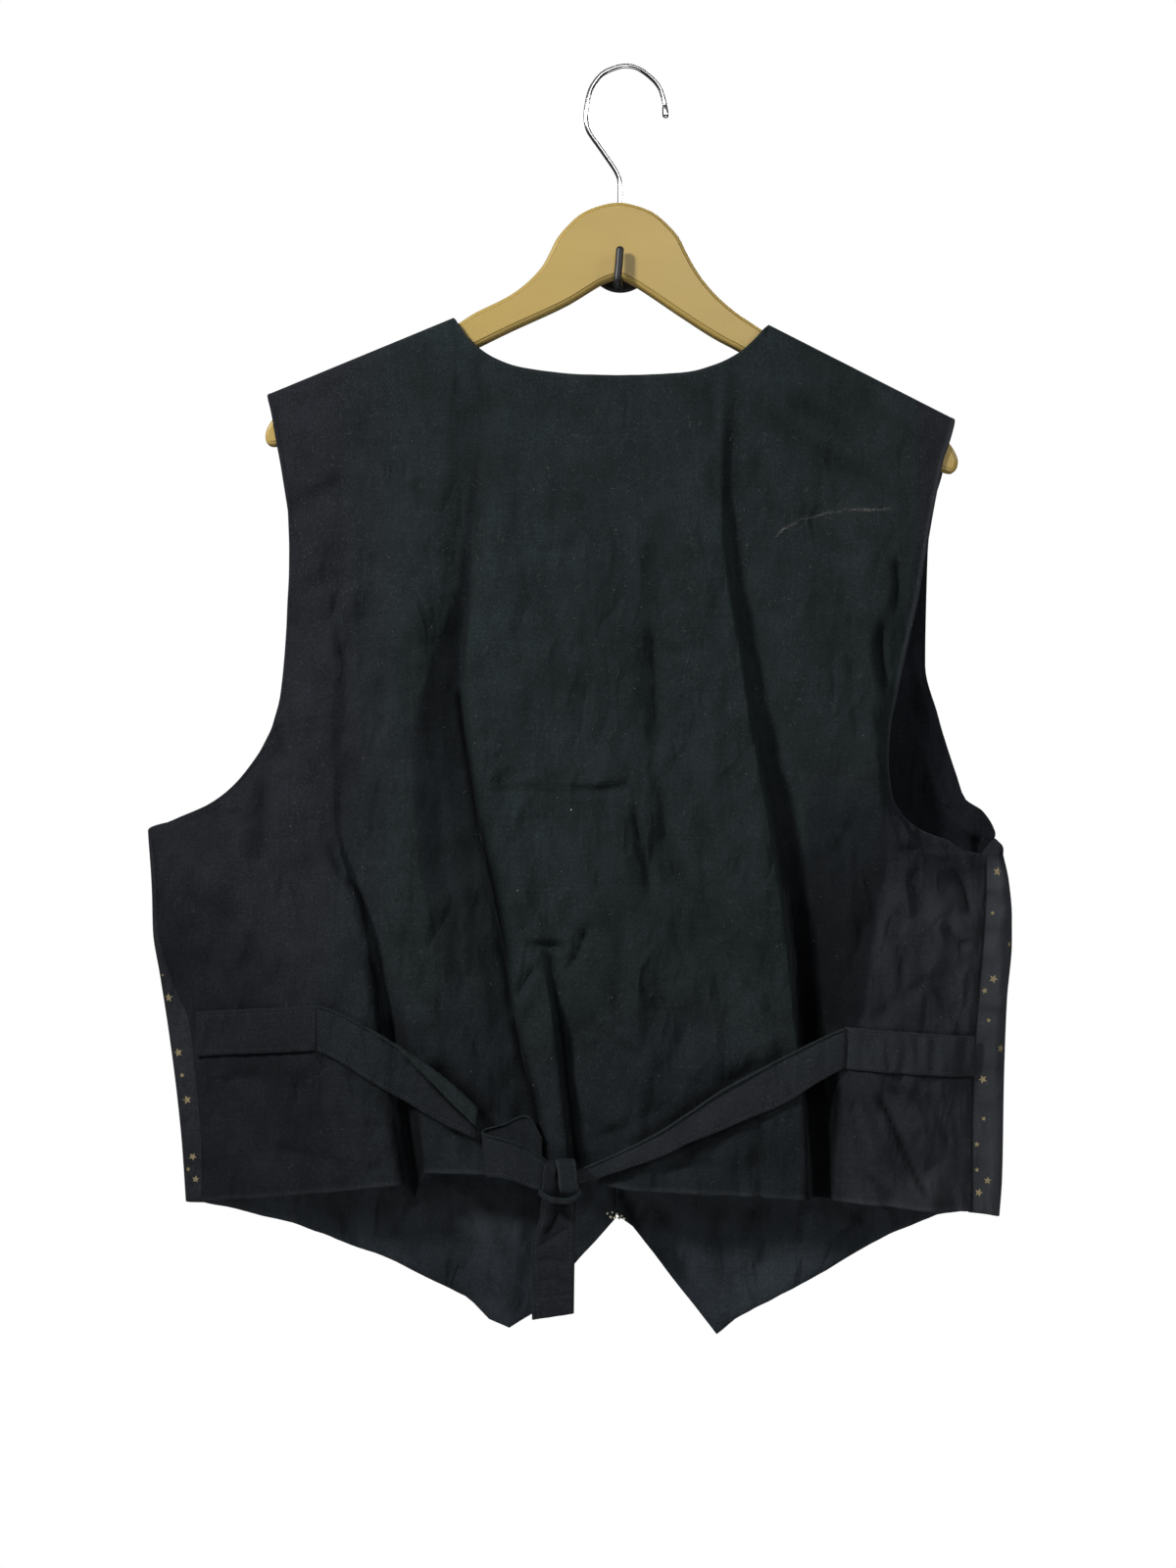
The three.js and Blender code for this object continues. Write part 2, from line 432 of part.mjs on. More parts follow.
// free bands: upper edge, fold and lower edge at a few places along the band
function band(name, stations, material, thick = STRAP) {
  const grid = [0, 0.5, 1].map((s) => stations.map((p) => {
    const x = lerp(p.xa, p.xb, s), z = lerp(p.za, p.zb, s);
    const y = s === 0.5 ? (p.ya + p.yb) / 2 + (p.puff ?? 0) : s === 0 ? p.ya : p.yb;
    return new THREE.Vector3(x, y, z);
  }));
  return sheet(name, grid, thick, material);
}
const LEFT_FREE = [
  { xa: -192.6, za: -486.8, xb: -192.3, zb: -515.5, ya: 1.4, yb: 1.4 },
  { xa: -180, za: -491, xb: -180, zb: -521, ya: 2, yb: 2 },
  { xa: -152.7, za: -505.1, xb: -155.8, zb: -536.1, ya: 3, yb: 2.5 },
  { xa: -137.8, za: -514.4, xb: -138, zb: -547, ya: 5, yb: 3 },
  { xa: -118, za: -527, xb: -116, zb: -560, ya: 7, yb: 3 },
  { xa: -101.3, za: -540.4, xb: -99, zb: -567, ya: 8, yb: 3 },
  { xa: -91, za: -550.5, xb: -93, zb: -570, ya: 8, yb: 3 },
];
const RIGHT_FREE = [
  { xa: 140.8, za: -500.8, xb: 140.8, zb: -525.5, ya: 1.4, yb: 1.4 },
  { xa: 130.3, za: -505.1, xb: 121, zb: -536.1, ya: 3, yb: 2.5 },
  { xa: 108, za: -515.6, xb: 102, zb: -547.5, ya: 3, yb: 3 },
  { xa: 82.6, za: -528.6, xb: 80, zb: -558, ya: 3, yb: 5 },
  { xa: 61.6, za: -540.4, xb: 63, zb: -561, ya: 3, yb: 7 },
  { xa: 44.9, za: -554.6, xb: 48, zb: -566, ya: 4, yb: 11 },
  { xa: 21.3, za: -568.9, xb: 26, zb: -578, ya: 4, yb: 12 },
  { xa: -2.2, za: -580.6, xb: 2, zb: -588.5, ya: 4, yb: 12 },
  { xa: -23.2, za: -590, xb: -21.5, zb: -598, ya: 4, yb: 12 },
];
for (const [name, rows] of [['strap_left_free', LEFT_FREE], ['strap_right_free', RIGHT_FREE]]) {
  group.add(band(name, rows.map((p) => ({
    ...p, ya: bridge(p.xa, p.za, 8) - p.ya, yb: bridge(p.xb, Math.max(p.zb, -590), 8) - p.yb,
  })), STRAP_CLOTH));
}
// loop: the band goes on behind, turns back at its left and comes out in front
const LOOP = [
  { xa: -50.6, za: -570, xb: -50.6, zb: -590, ya: -64.5, yb: -64.5 },
  { xa: -59.8, za: -555.5, xb: -58, zb: -586, ya: -65, yb: -65 },
  { xa: -75, za: -560.5, xb: -72, zb: -588, ya: -66.5, yb: -66 },
  { xa: -86, za: -563.2, xb: -83.5, zb: -590, ya: -69, yb: -69 },
  { xa: -87.7, za: -564.3, xb: -85.2, zb: -591.8, ya: -72, yb: -72 },
  { xa: -84.5, za: -565.5, xb: -82.5, zb: -592, ya: -75.5, yb: -75.5 },
  { xa: -63.5, za: -571.4, xb: -67, zb: -594.5, ya: -77.5, yb: -77 },
  { xa: -50.6, za: -579, xb: -50.6, zb: -601, ya: -76, yb: -76 },
];
group.add(band('strap_loop', LOOP, STRAP_CLOTH));
const TAIL = [
  { xa: -50.2, za: -608.2, xb: -29.2, zb: -608.2, ya: -66.5, yb: -66 },
  { xa: -52, za: -625, xb: -29.6, zb: -622, ya: -65, yb: -67 },
  { xa: -56.6, za: -633, xb: -30, zb: -632, ya: -64.5, yb: -65 },
  { xa: -56.6, za: -655, xb: -30.4, zb: -655, ya: -63, yb: -63 },
  { xa: -56.4, za: -685, xb: -30.7, zb: -681.2, ya: -60.5, yb: -60 },
];
group.add(band('strap_tail', TAIL, STRAP_CLOTH));
// knot: two upright turns and the lower turn that lies over them
const TURNS = [
  { name: 'knot_turn_left', x0: -49.4, x1: -41.6, up: -583.4, low: -605.5, rear: -65, front: -77 },
  { name: 'knot_turn_right', x0: -40.8, x1: -27.4, up: -582.6, low: -604.5, rear: -64.5, front: -78 },
];
for (const t of TURNS) {
  const N = 14;
  const rz = (t.up - t.low) / 2, ry = (t.rear - t.front) / 2, zc = (t.up + t.low) / 2, yc = (t.rear + t.front) / 2;
  const grid = [0, 1].map((s) => Array.from({ length: N + 1 }, (_, k) => {
    const a = lerp(0.9 * Math.PI, -0.9 * Math.PI, k / N);
    const e = (v) => Math.sign(v) * Math.abs(v) ** 0.6;
    return new THREE.Vector3(lerp(t.x0, t.x1, s), yc - ry * e(Math.cos(a)), zc + rz * e(Math.sin(a)));
  }));
  group.add(sheet(t.name, grid, STRAP, STRAP_CLOTH));
}
const LOW_TURN = [
  { xa: -51, za: -602.2, xb: -51, zb: -606.2, ya: -79.4, yb: -79.4 },
  { xa: -45, za: -600.6, xb: -46, zb: -608.2, ya: -80.2, yb: -80.4 },
  { xa: -37.5, za: -600.4, xb: -37.5, zb: -609.6, ya: -81, yb: -81.2 },
  { xa: -30, za: -600.8, xb: -29, zb: -607.6, ya: -80.6, yb: -80.8 },
  { xa: -26.4, za: -601.4, xb: -26.2, zb: -605, ya: -79.6, yb: -79.6 },
];
group.add(band('knot_turn_low', LOW_TURN, STRAP_CLOTH));

// ---------------------------------------------------------------- buttons
const BUTTON = { r: 7.5, thick: 3, top: -312, step: 69, count: 5 };
for (let k = 0; k < BUTTON.count; k++) {
  const h = BUTTON.thick, r = BUTTON.r;
  const profile = [[0, 0], [r - 1.2, 0], [r, 1], [r, h - 0.6], [r - 0.7, h], [r - 1.9, h], [r - 2.6, h - 0.8], [0, h - 0.8]]
    .map(([a, b]) => new THREE.Vector2(a, b));
  const g = new THREE.LatheGeometry(profile, 20);
  const z = BUTTON.top - k * BUTTON.step;
  const y = frontDepth(FRONT.right, LAP_X, z, 400) + CLOTH / 2 + 1.2;
  g.translate(LAP_X, y, z);
  const m = new THREE.Mesh(g, BUTTON_FACE);
  m.name = `button_${k + 1}`;
  group.add(m);
}

// ---------------------------------------------------------------- hanger
const HANGER = [
  { x: -1.2, z: 27.2 }, { x: -13.3, z: 25.3 }, { x: -25.4, z: 20.2 }, { x: -35.1, z: 11.7 }, { x: -41.8, z: 3.4 },
  { x: -46.1, z: -5.2 }, { x: -50.8, z: -13.7 }, { x: -59.3, z: -23.1 }, { x: -71.3, z: -32.3 }, { x: -95.5, z: -44.6 },
  { x: -103, z: -49.5 }, { x: -110, z: -53.6 }, { x: -147.8, z: -69.5 }, { x: -185.7, z: -87.5 }, { x: -210.9, z: -102 },
  { x: -225, z: -113.5 }, { x: -228.8, z: -122.5 }, { x: -227.4, z: -128 }, { x: -221.7, z: -128.8 },
  { x: -156, z: -97.5 }, { x: -91.9, z: -64.8 }, { x: -71.3, z: -54.7 }, { x: -35.1, z: -37.9 }, { x: -10, z: -23.2 },
  { x: -1.2, z: -20.9 }, { x: 7, z: -24.4 }, { x: 39, z: -45.5 }, { x: 59.2, z: -58.5 }, { x: 77.8, z: -68.6 },
  { x: 142, z: -107.5 }, { x: 206.6, z: -145.1 }, { x: 213.8, z: -146 }, { x: 216.5, z: -140 }, { x: 214.2, z: -132.8 },
  { x: 209, z: -125.5 }, { x: 199.7, z: -117.3 }, { x: 174.4, z: -101.3 }, { x: 136.5, z: -80.5 }, { x: 98, z: -59.4 },
  { x: 89, z: -53.6 }, { x: 73.3, z: -43 }, { x: 63.2, z: -34.4 }, { x: 54.1, z: -24.4 }, { x: 47.1, z: -14.3 },
  { x: 41.6, z: -4.2 }, { x: 37, z: 4.9 }, { x: 30.4, z: 12.6 }, { x: 21.9, z: 20 }, { x: 11.8, z: 24.6 },
];
{
  const bevel = 2;
  const shape = new THREE.Shape(HANGER.map((p) => new THREE.Vector2(p.x, p.z)));
  const g = new THREE.ExtrudeGeometry(shape, {
    depth: HANGER_THICK - 2 * bevel, bevelEnabled: true, bevelThickness: bevel, bevelSize: bevel, bevelOffset: -bevel, bevelSegments: 1, steps: 1,
  });
  g.rotateX(Math.PI / 2);
  g.translate(0, HANGER_MID + HANGER_THICK / 2 - bevel, 0);
  const m = new THREE.Mesh(g, HANGER_FACE);
  m.name = 'hanger_body';
  group.add(m);
}
const WIRE_R = 1.6;
const WIRE_PATH = [
  { x: -0.7, z: 27.6 }, { x: -0.7, z: 40.1 }, { x: -1.7, z: 45 }, { x: -4.9, z: 51 }, { x: -13.3, z: 63.1 }, { x: -20.2, z: 72.9 },
  { x: -22.2, z: 78.5 }, { x: -22.6, z: 87 }, { x: -20.6, z: 98.3 }, { x: -17, z: 105.6 }, { x: -10.9, z: 112 }, { x: 1.3, z: 116.3 },
  { x: 10.9, z: 114.7 }, { x: 19.5, z: 108.6 }, { x: 24.9, z: 102.1 }, { x: 28, z: 92.2 }, { x: 28.7, z: 84.3 },
];
{
  const curve = new THREE.CatmullRomCurve3(WIRE_PATH.map((p) => new THREE.Vector3(p.x, HANGER_MID, p.z)), false, 'centripetal');
  group.add(bar('hanger_hook', curve.getSpacedPoints(40), WIRE_R, 10, WIRE));
}

// ---------------------------------------------------------------- wall hook
const PLATE_R = 21.5, PLATE_T = 4, PRONG_R = 2.5;
{
  const g = new THREE.CylinderGeometry(PLATE_R, PLATE_R, PLATE_T, 40);
  g.translate(0, -PLATE_T / 2, 0);
  const m = new THREE.Mesh(g, BLACK_METAL);
  m.name = 'wall_hook_plate';
  group.add(m);
  const path = [
    [-1.2, -PLATE_T - 0.4, -14], [-1.2, -8.5, -14.4], [-1.2, -11.5, -17.5], [-1.2, -15, -21.5], [-1.2, -22, -23.8], [-1.2, -30, -24], [-1.4, -38, -24.3], [-2, -43, -26.4],
    [-2.6, -46.2, -27.8], [-2.6, -48.8, -26], [-2.4, -49.3, -22], [-1.6, -48.8, -14], [-1, -48.2, -5.2],
  ].map((p) => new THREE.Vector3(...p));
  group.add(bar('wall_hook_prong', new THREE.CatmullRomCurve3(path, false, 'centripetal').getSpacedPoints(26), PRONG_R, 12, BLACK_METAL));
}

export default group;
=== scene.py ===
import bpy
import math
import numpy as np
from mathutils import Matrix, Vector
from mathutils.bvhtree import BVHTree


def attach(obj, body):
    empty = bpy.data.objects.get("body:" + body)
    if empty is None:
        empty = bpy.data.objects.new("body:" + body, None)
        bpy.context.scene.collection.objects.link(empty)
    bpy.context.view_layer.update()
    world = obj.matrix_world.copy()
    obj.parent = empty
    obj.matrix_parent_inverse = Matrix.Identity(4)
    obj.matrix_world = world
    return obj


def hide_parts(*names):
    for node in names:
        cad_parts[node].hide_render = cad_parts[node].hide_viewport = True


# Suit waistcoat seen from behind, on a flat hanger that a wall hook carries.
# The tables are in millimetres in the CAD frame and become metres in the
# meshes. The wall is y = 0 and the garment's back looks along -Y.

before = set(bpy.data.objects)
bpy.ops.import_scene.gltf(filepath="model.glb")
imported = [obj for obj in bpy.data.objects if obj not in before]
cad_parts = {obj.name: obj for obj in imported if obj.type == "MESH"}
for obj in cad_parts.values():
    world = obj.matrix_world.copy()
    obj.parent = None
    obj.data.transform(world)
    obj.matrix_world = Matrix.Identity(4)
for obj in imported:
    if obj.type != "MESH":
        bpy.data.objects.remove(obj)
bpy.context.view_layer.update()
rng = np.random.default_rng(20)

# ------------------------------------------------------------------ camera
CAM_Y = -1350.0          # distance of the lens from the wall, in mm
CAM_X, CAM_Z = -21.4, -346.6
VIEW_HIGH = 1000.0       # height that the frame takes in, 1300 mm from the lens
cam_data = bpy.data.cameras.new("camera")
cam_data.sensor_fit = 'VERTICAL'
cam_data.sensor_height = 36.0
cam_data.lens = 36.0 * 1300.0 / VIEW_HIGH
cam_data.clip_end = 100.0
camera = bpy.data.objects.new("camera", cam_data)
camera.location = (CAM_X / 1000, CAM_Y / 1000, CAM_Z / 1000)
camera.rotation_euler = (math.radians(90), 0, 0)
bpy.context.collection.objects.link(camera)
bpy.context.scene.camera = camera

# ------------------------------------------------------------------ helpers
def lerp(a, b, t):
    return a + (b - a) * t


def smooth(t):
    t = np.clip(t, 0.0, 1.0)
    return t * t * (3 - 2 * t)


def pchip(xs, ys, q):
    """Smooth curve through a table with no overshoot. xs rises."""
    xs, ys, q = np.asarray(xs, float), np.asarray(ys, float), np.asarray(q, float)
    h = np.diff(xs)
    d = (np.diff(ys.T) / h).T
    m = np.zeros_like(ys)
    same = (d[:-1] * d[1:]) > 0
    hh = h.reshape((-1,) + (1,) * (ys.ndim - 1))
    w1, w2 = 2 * hh[1:] + hh[:-1], hh[1:] + 2 * hh[:-1]
    with np.errstate(divide='ignore', invalid='ignore'):
        inner = (w1 + w2) / (w1 / d[:-1] + w2 / d[1:])
    m[1:-1] = np.where(same, inner, 0.0)
    m[0], m[-1] = d[0], d[-1]
    k = np.clip(np.searchsorted(xs, q, side='right') - 1, 0, len(xs) - 2)
    t = (q - xs[k]) / h[k]
    t = np.clip(t, 0, 1).reshape((-1,) + (1,) * (ys.ndim - 1))
    hk = h[k].reshape(t.shape)
    return ((2 * t**3 - 3 * t**2 + 1) * ys[k] + (t**3 - 2 * t**2 + t) * hk * m[k]
            + (-2 * t**3 + 3 * t**2) * ys[k + 1] + (t**3 - t**2) * hk * m[k + 1])


def table(rows, key, col, q, curve=True):
    r = sorted(rows, key=lambda v: v[key])
    xs = [v[key] for v in r]
    ys = [v[col] for v in r]
    q = np.clip(np.asarray(q, float), xs[0], xs[-1])
    return pchip(xs, ys, q) if curve else np.interp(q, xs, ys)


def ladder(marks):
    z = [marks[0][0]]
    for end, n, bend in marks[1:]:
        start = z[-1]
        z += [lerp(start, end, 1 - (1 - k / n) ** bend) for k in range(1, n + 1)]
    return np.array(z)


def grid_normals(g):
    """Unit normals of a grid of points; they face the side of columns x rows."""
    du = np.empty_like(g)
    dv = np.empty_like(g)
    du[:, 1:-1] = g[:, 2:] - g[:, :-2]
    du[:, 0], du[:, -1] = g[:, 1] - g[:, 0], g[:, -1] - g[:, -2]
    dv[1:-1] = g[2:] - g[:-2]
    dv[0], dv[-1] = g[1] - g[0], g[-1] - g[-2]
    n = np.cross(du, dv)
    return n / np.maximum(np.linalg.norm(n, axis=2, keepdims=True), 1e-9)


def blur(a, rounds=1):
    for _ in range(rounds):
        p = np.pad(a, ((1, 1), (1, 1)) + ((0, 0),) * (a.ndim - 2), mode='edge')
        a = (p[1:-1, 1:-1] * 4 + p[:-2, 1:-1] * 2 + p[2:, 1:-1] * 2 + p[1:-1, :-2] * 2 + p[1:-1, 2:] * 2
             + p[:-2, :-2] + p[:-2, 2:] + p[2:, :-2] + p[2:, 2:]) / 16
    return a


def make_mesh(name, verts, faces, material, flat=None, attrs=None):
    me = bpy.data.meshes.new(name)
    faces = np.asarray(faces, np.int64)
    n, k = faces.shape
    me.vertices.add(len(verts))
    me.vertices.foreach_set("co", (np.asarray(verts, np.float32) / 1000).ravel())
    me.loops.add(n * k)
    me.loops.foreach_set("vertex_index", faces.ravel().astype(np.int32))
    me.polygons.add(n)
    me.polygons.foreach_set("loop_start", (np.arange(n) * k).astype(np.int32))
    smooth_face = np.ones(n, bool)
    if flat is not None:
        smooth_face[flat] = False
    me.polygons.foreach_set("use_smooth", smooth_face)
    for key, val in (attrs or {}).items():
        a = me.attributes.new(key, 'FLOAT', 'POINT')
        a.data.foreach_set("value", np.asarray(val, np.float32).ravel())
    me.update()
    me.validate()
    ob = bpy.data.objects.new(name, me)
    bpy.context.collection.objects.link(ob)
    if material is not None:
        me.materials.append(material)
    return ob


def sheet_mesh(name, grid, thick, material, attrs=None, edge_round=0.35):
    """Closed sheet of cloth of a grid of middle points, with a rounded rim."""
    n = grid_normals(grid)
    R, C = grid.shape[:2]
    attrs = dict(attrs or {})
    attrs.setdefault('crush', np.full((R, C), 0.55))
    a, b = grid + n * thick / 2, grid - n * thick / 2
    # the rim's middle line stands out a little, so that the edge is round
    idx = np.arange(R * C).reshape(R, C)
    f = [np.stack([idx[:-1, :-1], idx[:-1, 1:], idx[1:, 1:], idx[1:, :-1]], -1).reshape(-1, 4)]
    f.append(f[0][:, ::-1] + R * C)
    loop = np.concatenate([idx[0, :-1], idx[:-1, -1], idx[-1, :0:-1], idx[:0:-1, 0]])
    flat_mid = grid.reshape(-1, 3)[loop]
    out = np.zeros_like(grid)
    out[0] += grid[0] - grid[1]
    out[-1] += grid[-1] - grid[-2]
    out[:, 0] += grid[:, 0] - grid[:, 1]
    out[:, -1] += grid[:, -1] - grid[:, -2]
    o = out.reshape(-1, 3)[loop]
    o = o / np.maximum(np.linalg.norm(o, axis=1, keepdims=True), 1e-9)
    mid = flat_mid + o * thick * edge_round
    verts = np.concatenate([a.reshape(-1, 3), b.reshape(-1, 3), mid])
    m = np.arange(len(loop)) + 2 * R * C
    nx = np.roll(loop, -1)
    mx = np.roll(m, -1)
    f.append(np.stack([loop, m, mx, nx], -1))
    f.append(np.stack([m, loop + R * C, nx + R * C, mx], -1))
    faces = np.concatenate(f)
    t = {}
    for key, val in attrs.items():
        v = np.asarray(val).reshape(-1)
        t[key] = np.concatenate([v, v, v[loop]])
    p = verts[faces]
    vol = np.einsum('ij,ij->i', p[:, 0], np.cross(p[:, 1], p[:, 2])).sum() + np.einsum('ij,ij->i', p[:, 0], np.cross(p[:, 2], p[:, 3])).sum()
    if vol < 0:
        faces = faces[:, ::-1]
    return make_mesh(name, verts, faces, material, attrs=t)


def tube_mesh(name, path, radius, sides, material, tip=True):
    """Round bar along a path, with domed ends."""
    path = np.asarray(path, float)
    t = np.gradient(path, axis=0)
    t /= np.linalg.norm(t, axis=1, keepdims=True)
    side = np.cross(t[0], [0.3, 1, 0.2])
    rings, rr = [], []
    r = np.full(len(path), radius, float) if np.isscalar(radius) else np.asarray(radius, float)
    pts, rad, tan = list(path), list(r), list(t)
    if tip:
        for a in (0.35, 0.7, 0.93, 0.999):
            pts.insert(0, path[0] - t[0] * r[0] * a * 0.8)
            rad.insert(0, r[0] * math.sqrt(1 - a * a))
            tan.insert(0, t[0])
            pts.append(path[-1] + t[-1] * r[-1] * a * 0.8)
            rad.append(r[-1] * math.sqrt(1 - a * a))
            tan.append(t[-1])
    ang = np.arange(sides) * 2 * math.pi / sides
    for p, q, d in zip(pts, rad, tan):
        side = side - d * np.dot(side, d)
        side /= np.linalg.norm(side)
        up = np.cross(d, side)
        rings.append(p + q * (np.cos(ang)[:, None] * side + np.sin(ang)[:, None] * up))
    v = np.concatenate(rings)
    n = len(rings)
    idx = np.arange(n * sides).reshape(n, sides)
    nx = np.roll(idx, -1, axis=1)
    f = np.stack([idx[:-1], nx[:-1], nx[1:], idx[1:]], -1).reshape(-1, 4)
    c0, c1 = len(v), len(v) + 1
    v = np.concatenate([v, [pts[0]], [pts[-1]]])
    cap0 = np.stack([idx[0], np.full(sides, c0), np.full(sides, c0), nx[0]], -1)
    cap1 = np.stack([nx[-1], np.full(sides, c1), np.full(sides, c1), idx[-1]], -1)
    me = bpy.data.meshes.new(name)
    me.from_pydata((v / 1000).tolist(), [], [list(map(int, q)) for q in f] + [[int(a), int(b), int(d)] for a, b, _, d in cap0] + [[int(a), int(b), int(d)] for a, b, _, d in cap1])
    me.polygons.foreach_set("use_smooth", [True] * len(me.polygons))
    me.update()
    ob = bpy.data.objects.new(name, me)
    bpy.context.collection.objects.link(ob)
    if material is not None:
        me.materials.append(material)
    turn_out(ob)
    return ob


def turn_out(ob):
    """Makes a closed mesh face out."""
    me = ob.data
    vol = 0.0
    for p in me.polygons:
        c = [me.vertices[i].co for i in p.vertices]
        for k in range(1, len(c) - 1):
            vol += c[0].dot(c[k].cross(c[k + 1]))
    if vol < 0:
        me.flip_normals()


def spline(points, n):
    """Even points along a Catmull-Rom curve through points of any width."""
    p = np.asarray(points, float)
    q = np.concatenate([[2 * p[0] - p[1]], p, [2 * p[-1] - p[-2]]])
    out = []
    for i in range(1, len(q) - 2):
        for t in np.linspace(0, 1, 24, endpoint=False):
            out.append(0.5 * (2 * q[i] + (q[i + 1] - q[i - 1]) * t + (2 * q[i - 1] - 5 * q[i] + 4 * q[i + 1] - q[i + 2]) * t * t
                              + (3 * q[i] - q[i - 1] - 3 * q[i + 1] + q[i + 2]) * t**3))
    out.append(q[-2])
    out = np.array(out)
    s = np.concatenate([[0], np.cumsum(np.linalg.norm(np.diff(out[:, :3], axis=0), axis=1))])
    want = np.linspace(0, s[-1], n)
    return np.stack([np.interp(want, s, out[:, k]) for k in range(out.shape[1])], -1)


def crease(x, z, points, deep, wl, wr, ends=0.28):
    """How far a crease takes the cloth back, at places x, z.

    It follows a few points, is deepest past its middle and fades at its ends.
    wl and wr are its widths to the left and to the right, going along it."""
    p = spline(points, 40) if len(points) > 2 else np.stack([np.linspace(points[0][k], points[1][k], 20) for k in (0, 1)], -1)
    lo, hi = p.min(0) - 3 * max(wl, wr), p.max(0) + 3 * max(wl, wr)
    near = (x > lo[0]) & (x < hi[0]) & (z > lo[1]) & (z < hi[1])
    out = np.zeros_like(x)
    if not near.any():
        return out
    q = np.stack([x[near], z[near]], -1)
    best = np.full(len(q), 1e9)
    sgn = np.zeros(len(q))
    along = np.zeros(len(q))
    n = len(p) - 1
    for k in range(n):
        a, d = p[k], p[k + 1] - p[k]
        L = np.dot(d, d)
        t = np.clip(((q - a) @ d) / L, 0, 1)
        e = q - (a + t[:, None] * d)
        r = np.hypot(e[:, 0], e[:, 1])
        m = r < best
        best[m] = r[m]
        sgn[m] = (d[0] * e[m, 1] - d[1] * e[m, 0])
        along[m] = (k + t[m]) / n
    w = np.where(sgn > 0, wl, wr)
    fade = smooth(along / ends) * smooth((1 - along) / ends)
    out[near] = deep * np.exp(-(best / w) ** 1.5) * fade
    return out


def waves(x, z, size, seed, count=9):
    """Soft unevenness, as a few seeded waves of about that size."""
    r = np.random.default_rng(seed)
    out = np.zeros_like(x)
    for _ in range(count):
        a = r.uniform(0, 2 * math.pi)
        k = 2 * math.pi / (size * r.uniform(0.7, 1.6))
        out += np.sin(k * (x * math.cos(a) * 1.4 + z * math.sin(a) * 0.75) + r.uniform(0, 6.28))
    return out / math.sqrt(count)


# --------------------------------------------------------------- materials
class Nodes:
    """Short hand for a material's node tree."""

    def __init__(self, name):
        self.mat = bpy.data.materials.new(name)
        self.mat.use_nodes = True
        self.t = self.mat.node_tree
        self.bsdf = next(n for n in self.t.nodes if n.type == 'BSDF_PRINCIPLED')
        self.coord = self.add('ShaderNodeTexCoord')

    def add(self, kind, **props):
        n = self.t.nodes.new(kind)
        for k, v in props.items():
            setattr(n, k, v)
        return n

    def link(self, a, b):
        self.t.links.new(a, b)

    def scaled(self, sx, sy, sz, turn=(0, 0, 0)):
        m = self.add('ShaderNodeMapping')
        m.inputs['Scale'].default_value = (sx, sy, sz)
        m.inputs['Rotation'].default_value = turn
        self.link(self.coord.outputs['Object'], m.inputs['Vector'])
        return m.outputs['Vector']

    def noise(self, scale, detail=3.0, rough=0.55, vec=None, out='Fac'):
        n = self.add('ShaderNodeTexNoise')
        n.inputs['Scale'].default_value = scale
        n.inputs['Detail'].default_value = detail
        n.inputs['Roughness'].default_value = rough
        self.link(vec if vec is not None else self.coord.outputs['Object'], n.inputs['Vector'])
        return n.outputs[out]

    def wave(self, scale, direction='X', distort=0.0, vec=None, profile='SIN'):
        n = self.add('ShaderNodeTexWave', wave_type='BANDS', bands_direction=direction, wave_profile=profile)
        n.inputs['Scale'].default_value = scale
        n.inputs['Distortion'].default_value = distort
        self.link(vec if vec is not None else self.coord.outputs['Object'], n.inputs['Vector'])
        return n.outputs['Fac']

    def math(self, op, a, b=None, clamp=False):
        n = self.add('ShaderNodeMath', operation=op, use_clamp=clamp)
        for k, v in enumerate((a, b)):
            if v is None:
                continue
            if isinstance(v, (int, float)):
                n.inputs[k].default_value = v
            else:
                self.link(v, n.inputs[k])
        return n.outputs[0]

    def ramp(self, fac, stops):
        n = self.add('ShaderNodeValToRGB')
        e = n.color_ramp.elements
        while len(e) < len(stops):
            e.new(0.5)
        for k, (p, c) in enumerate(stops):
            e[k].position = p
            e[k].color = (*c, 1.0) if len(c) == 3 else c
        self.link(fac, n.inputs['Fac'])
        return n.outputs['Color']

    def mix(self, fac, a, b, kind='MIX'):
        n = self.add('ShaderNodeMix', data_type='RGBA', blend_type=kind)
        for sock, v in ((n.inputs[0], fac), (n.inputs[6], a), (n.inputs[7], b)):
            if isinstance(v, (int, float)):
                sock.default_value = v
            elif isinstance(v, tuple):
                sock.default_value = (*v, 1.0)
            else:
                self.link(v, sock)
        return n.outputs[2]

    def attr(self, name):
        return self.add('ShaderNodeAttribute', attribute_name=name).outputs['Fac']

    def bump(self, height, strength, distance, prev=None):
        n = self.add('ShaderNodeBump')
        n.inputs['Strength'].default_value = strength
        n.inputs['Distance'].default_value = distance
        self.link(height, n.inputs['Height'])
        if prev is not None:
            self.link(prev, n.inputs['Normal'])
        return n.outputs['Normal']

    def set(self, **values):
        for k, v in values.items():
            s = self.bsdf.inputs[k.replace('_', ' ')]
            if isinstance(v, (int, float, tuple)):
                s.default_value = v if not isinstance(v, tuple) or len(v) == 4 or s.type == 'VECTOR' else (*v, 1.0)
            else:
                self.link(v, s)


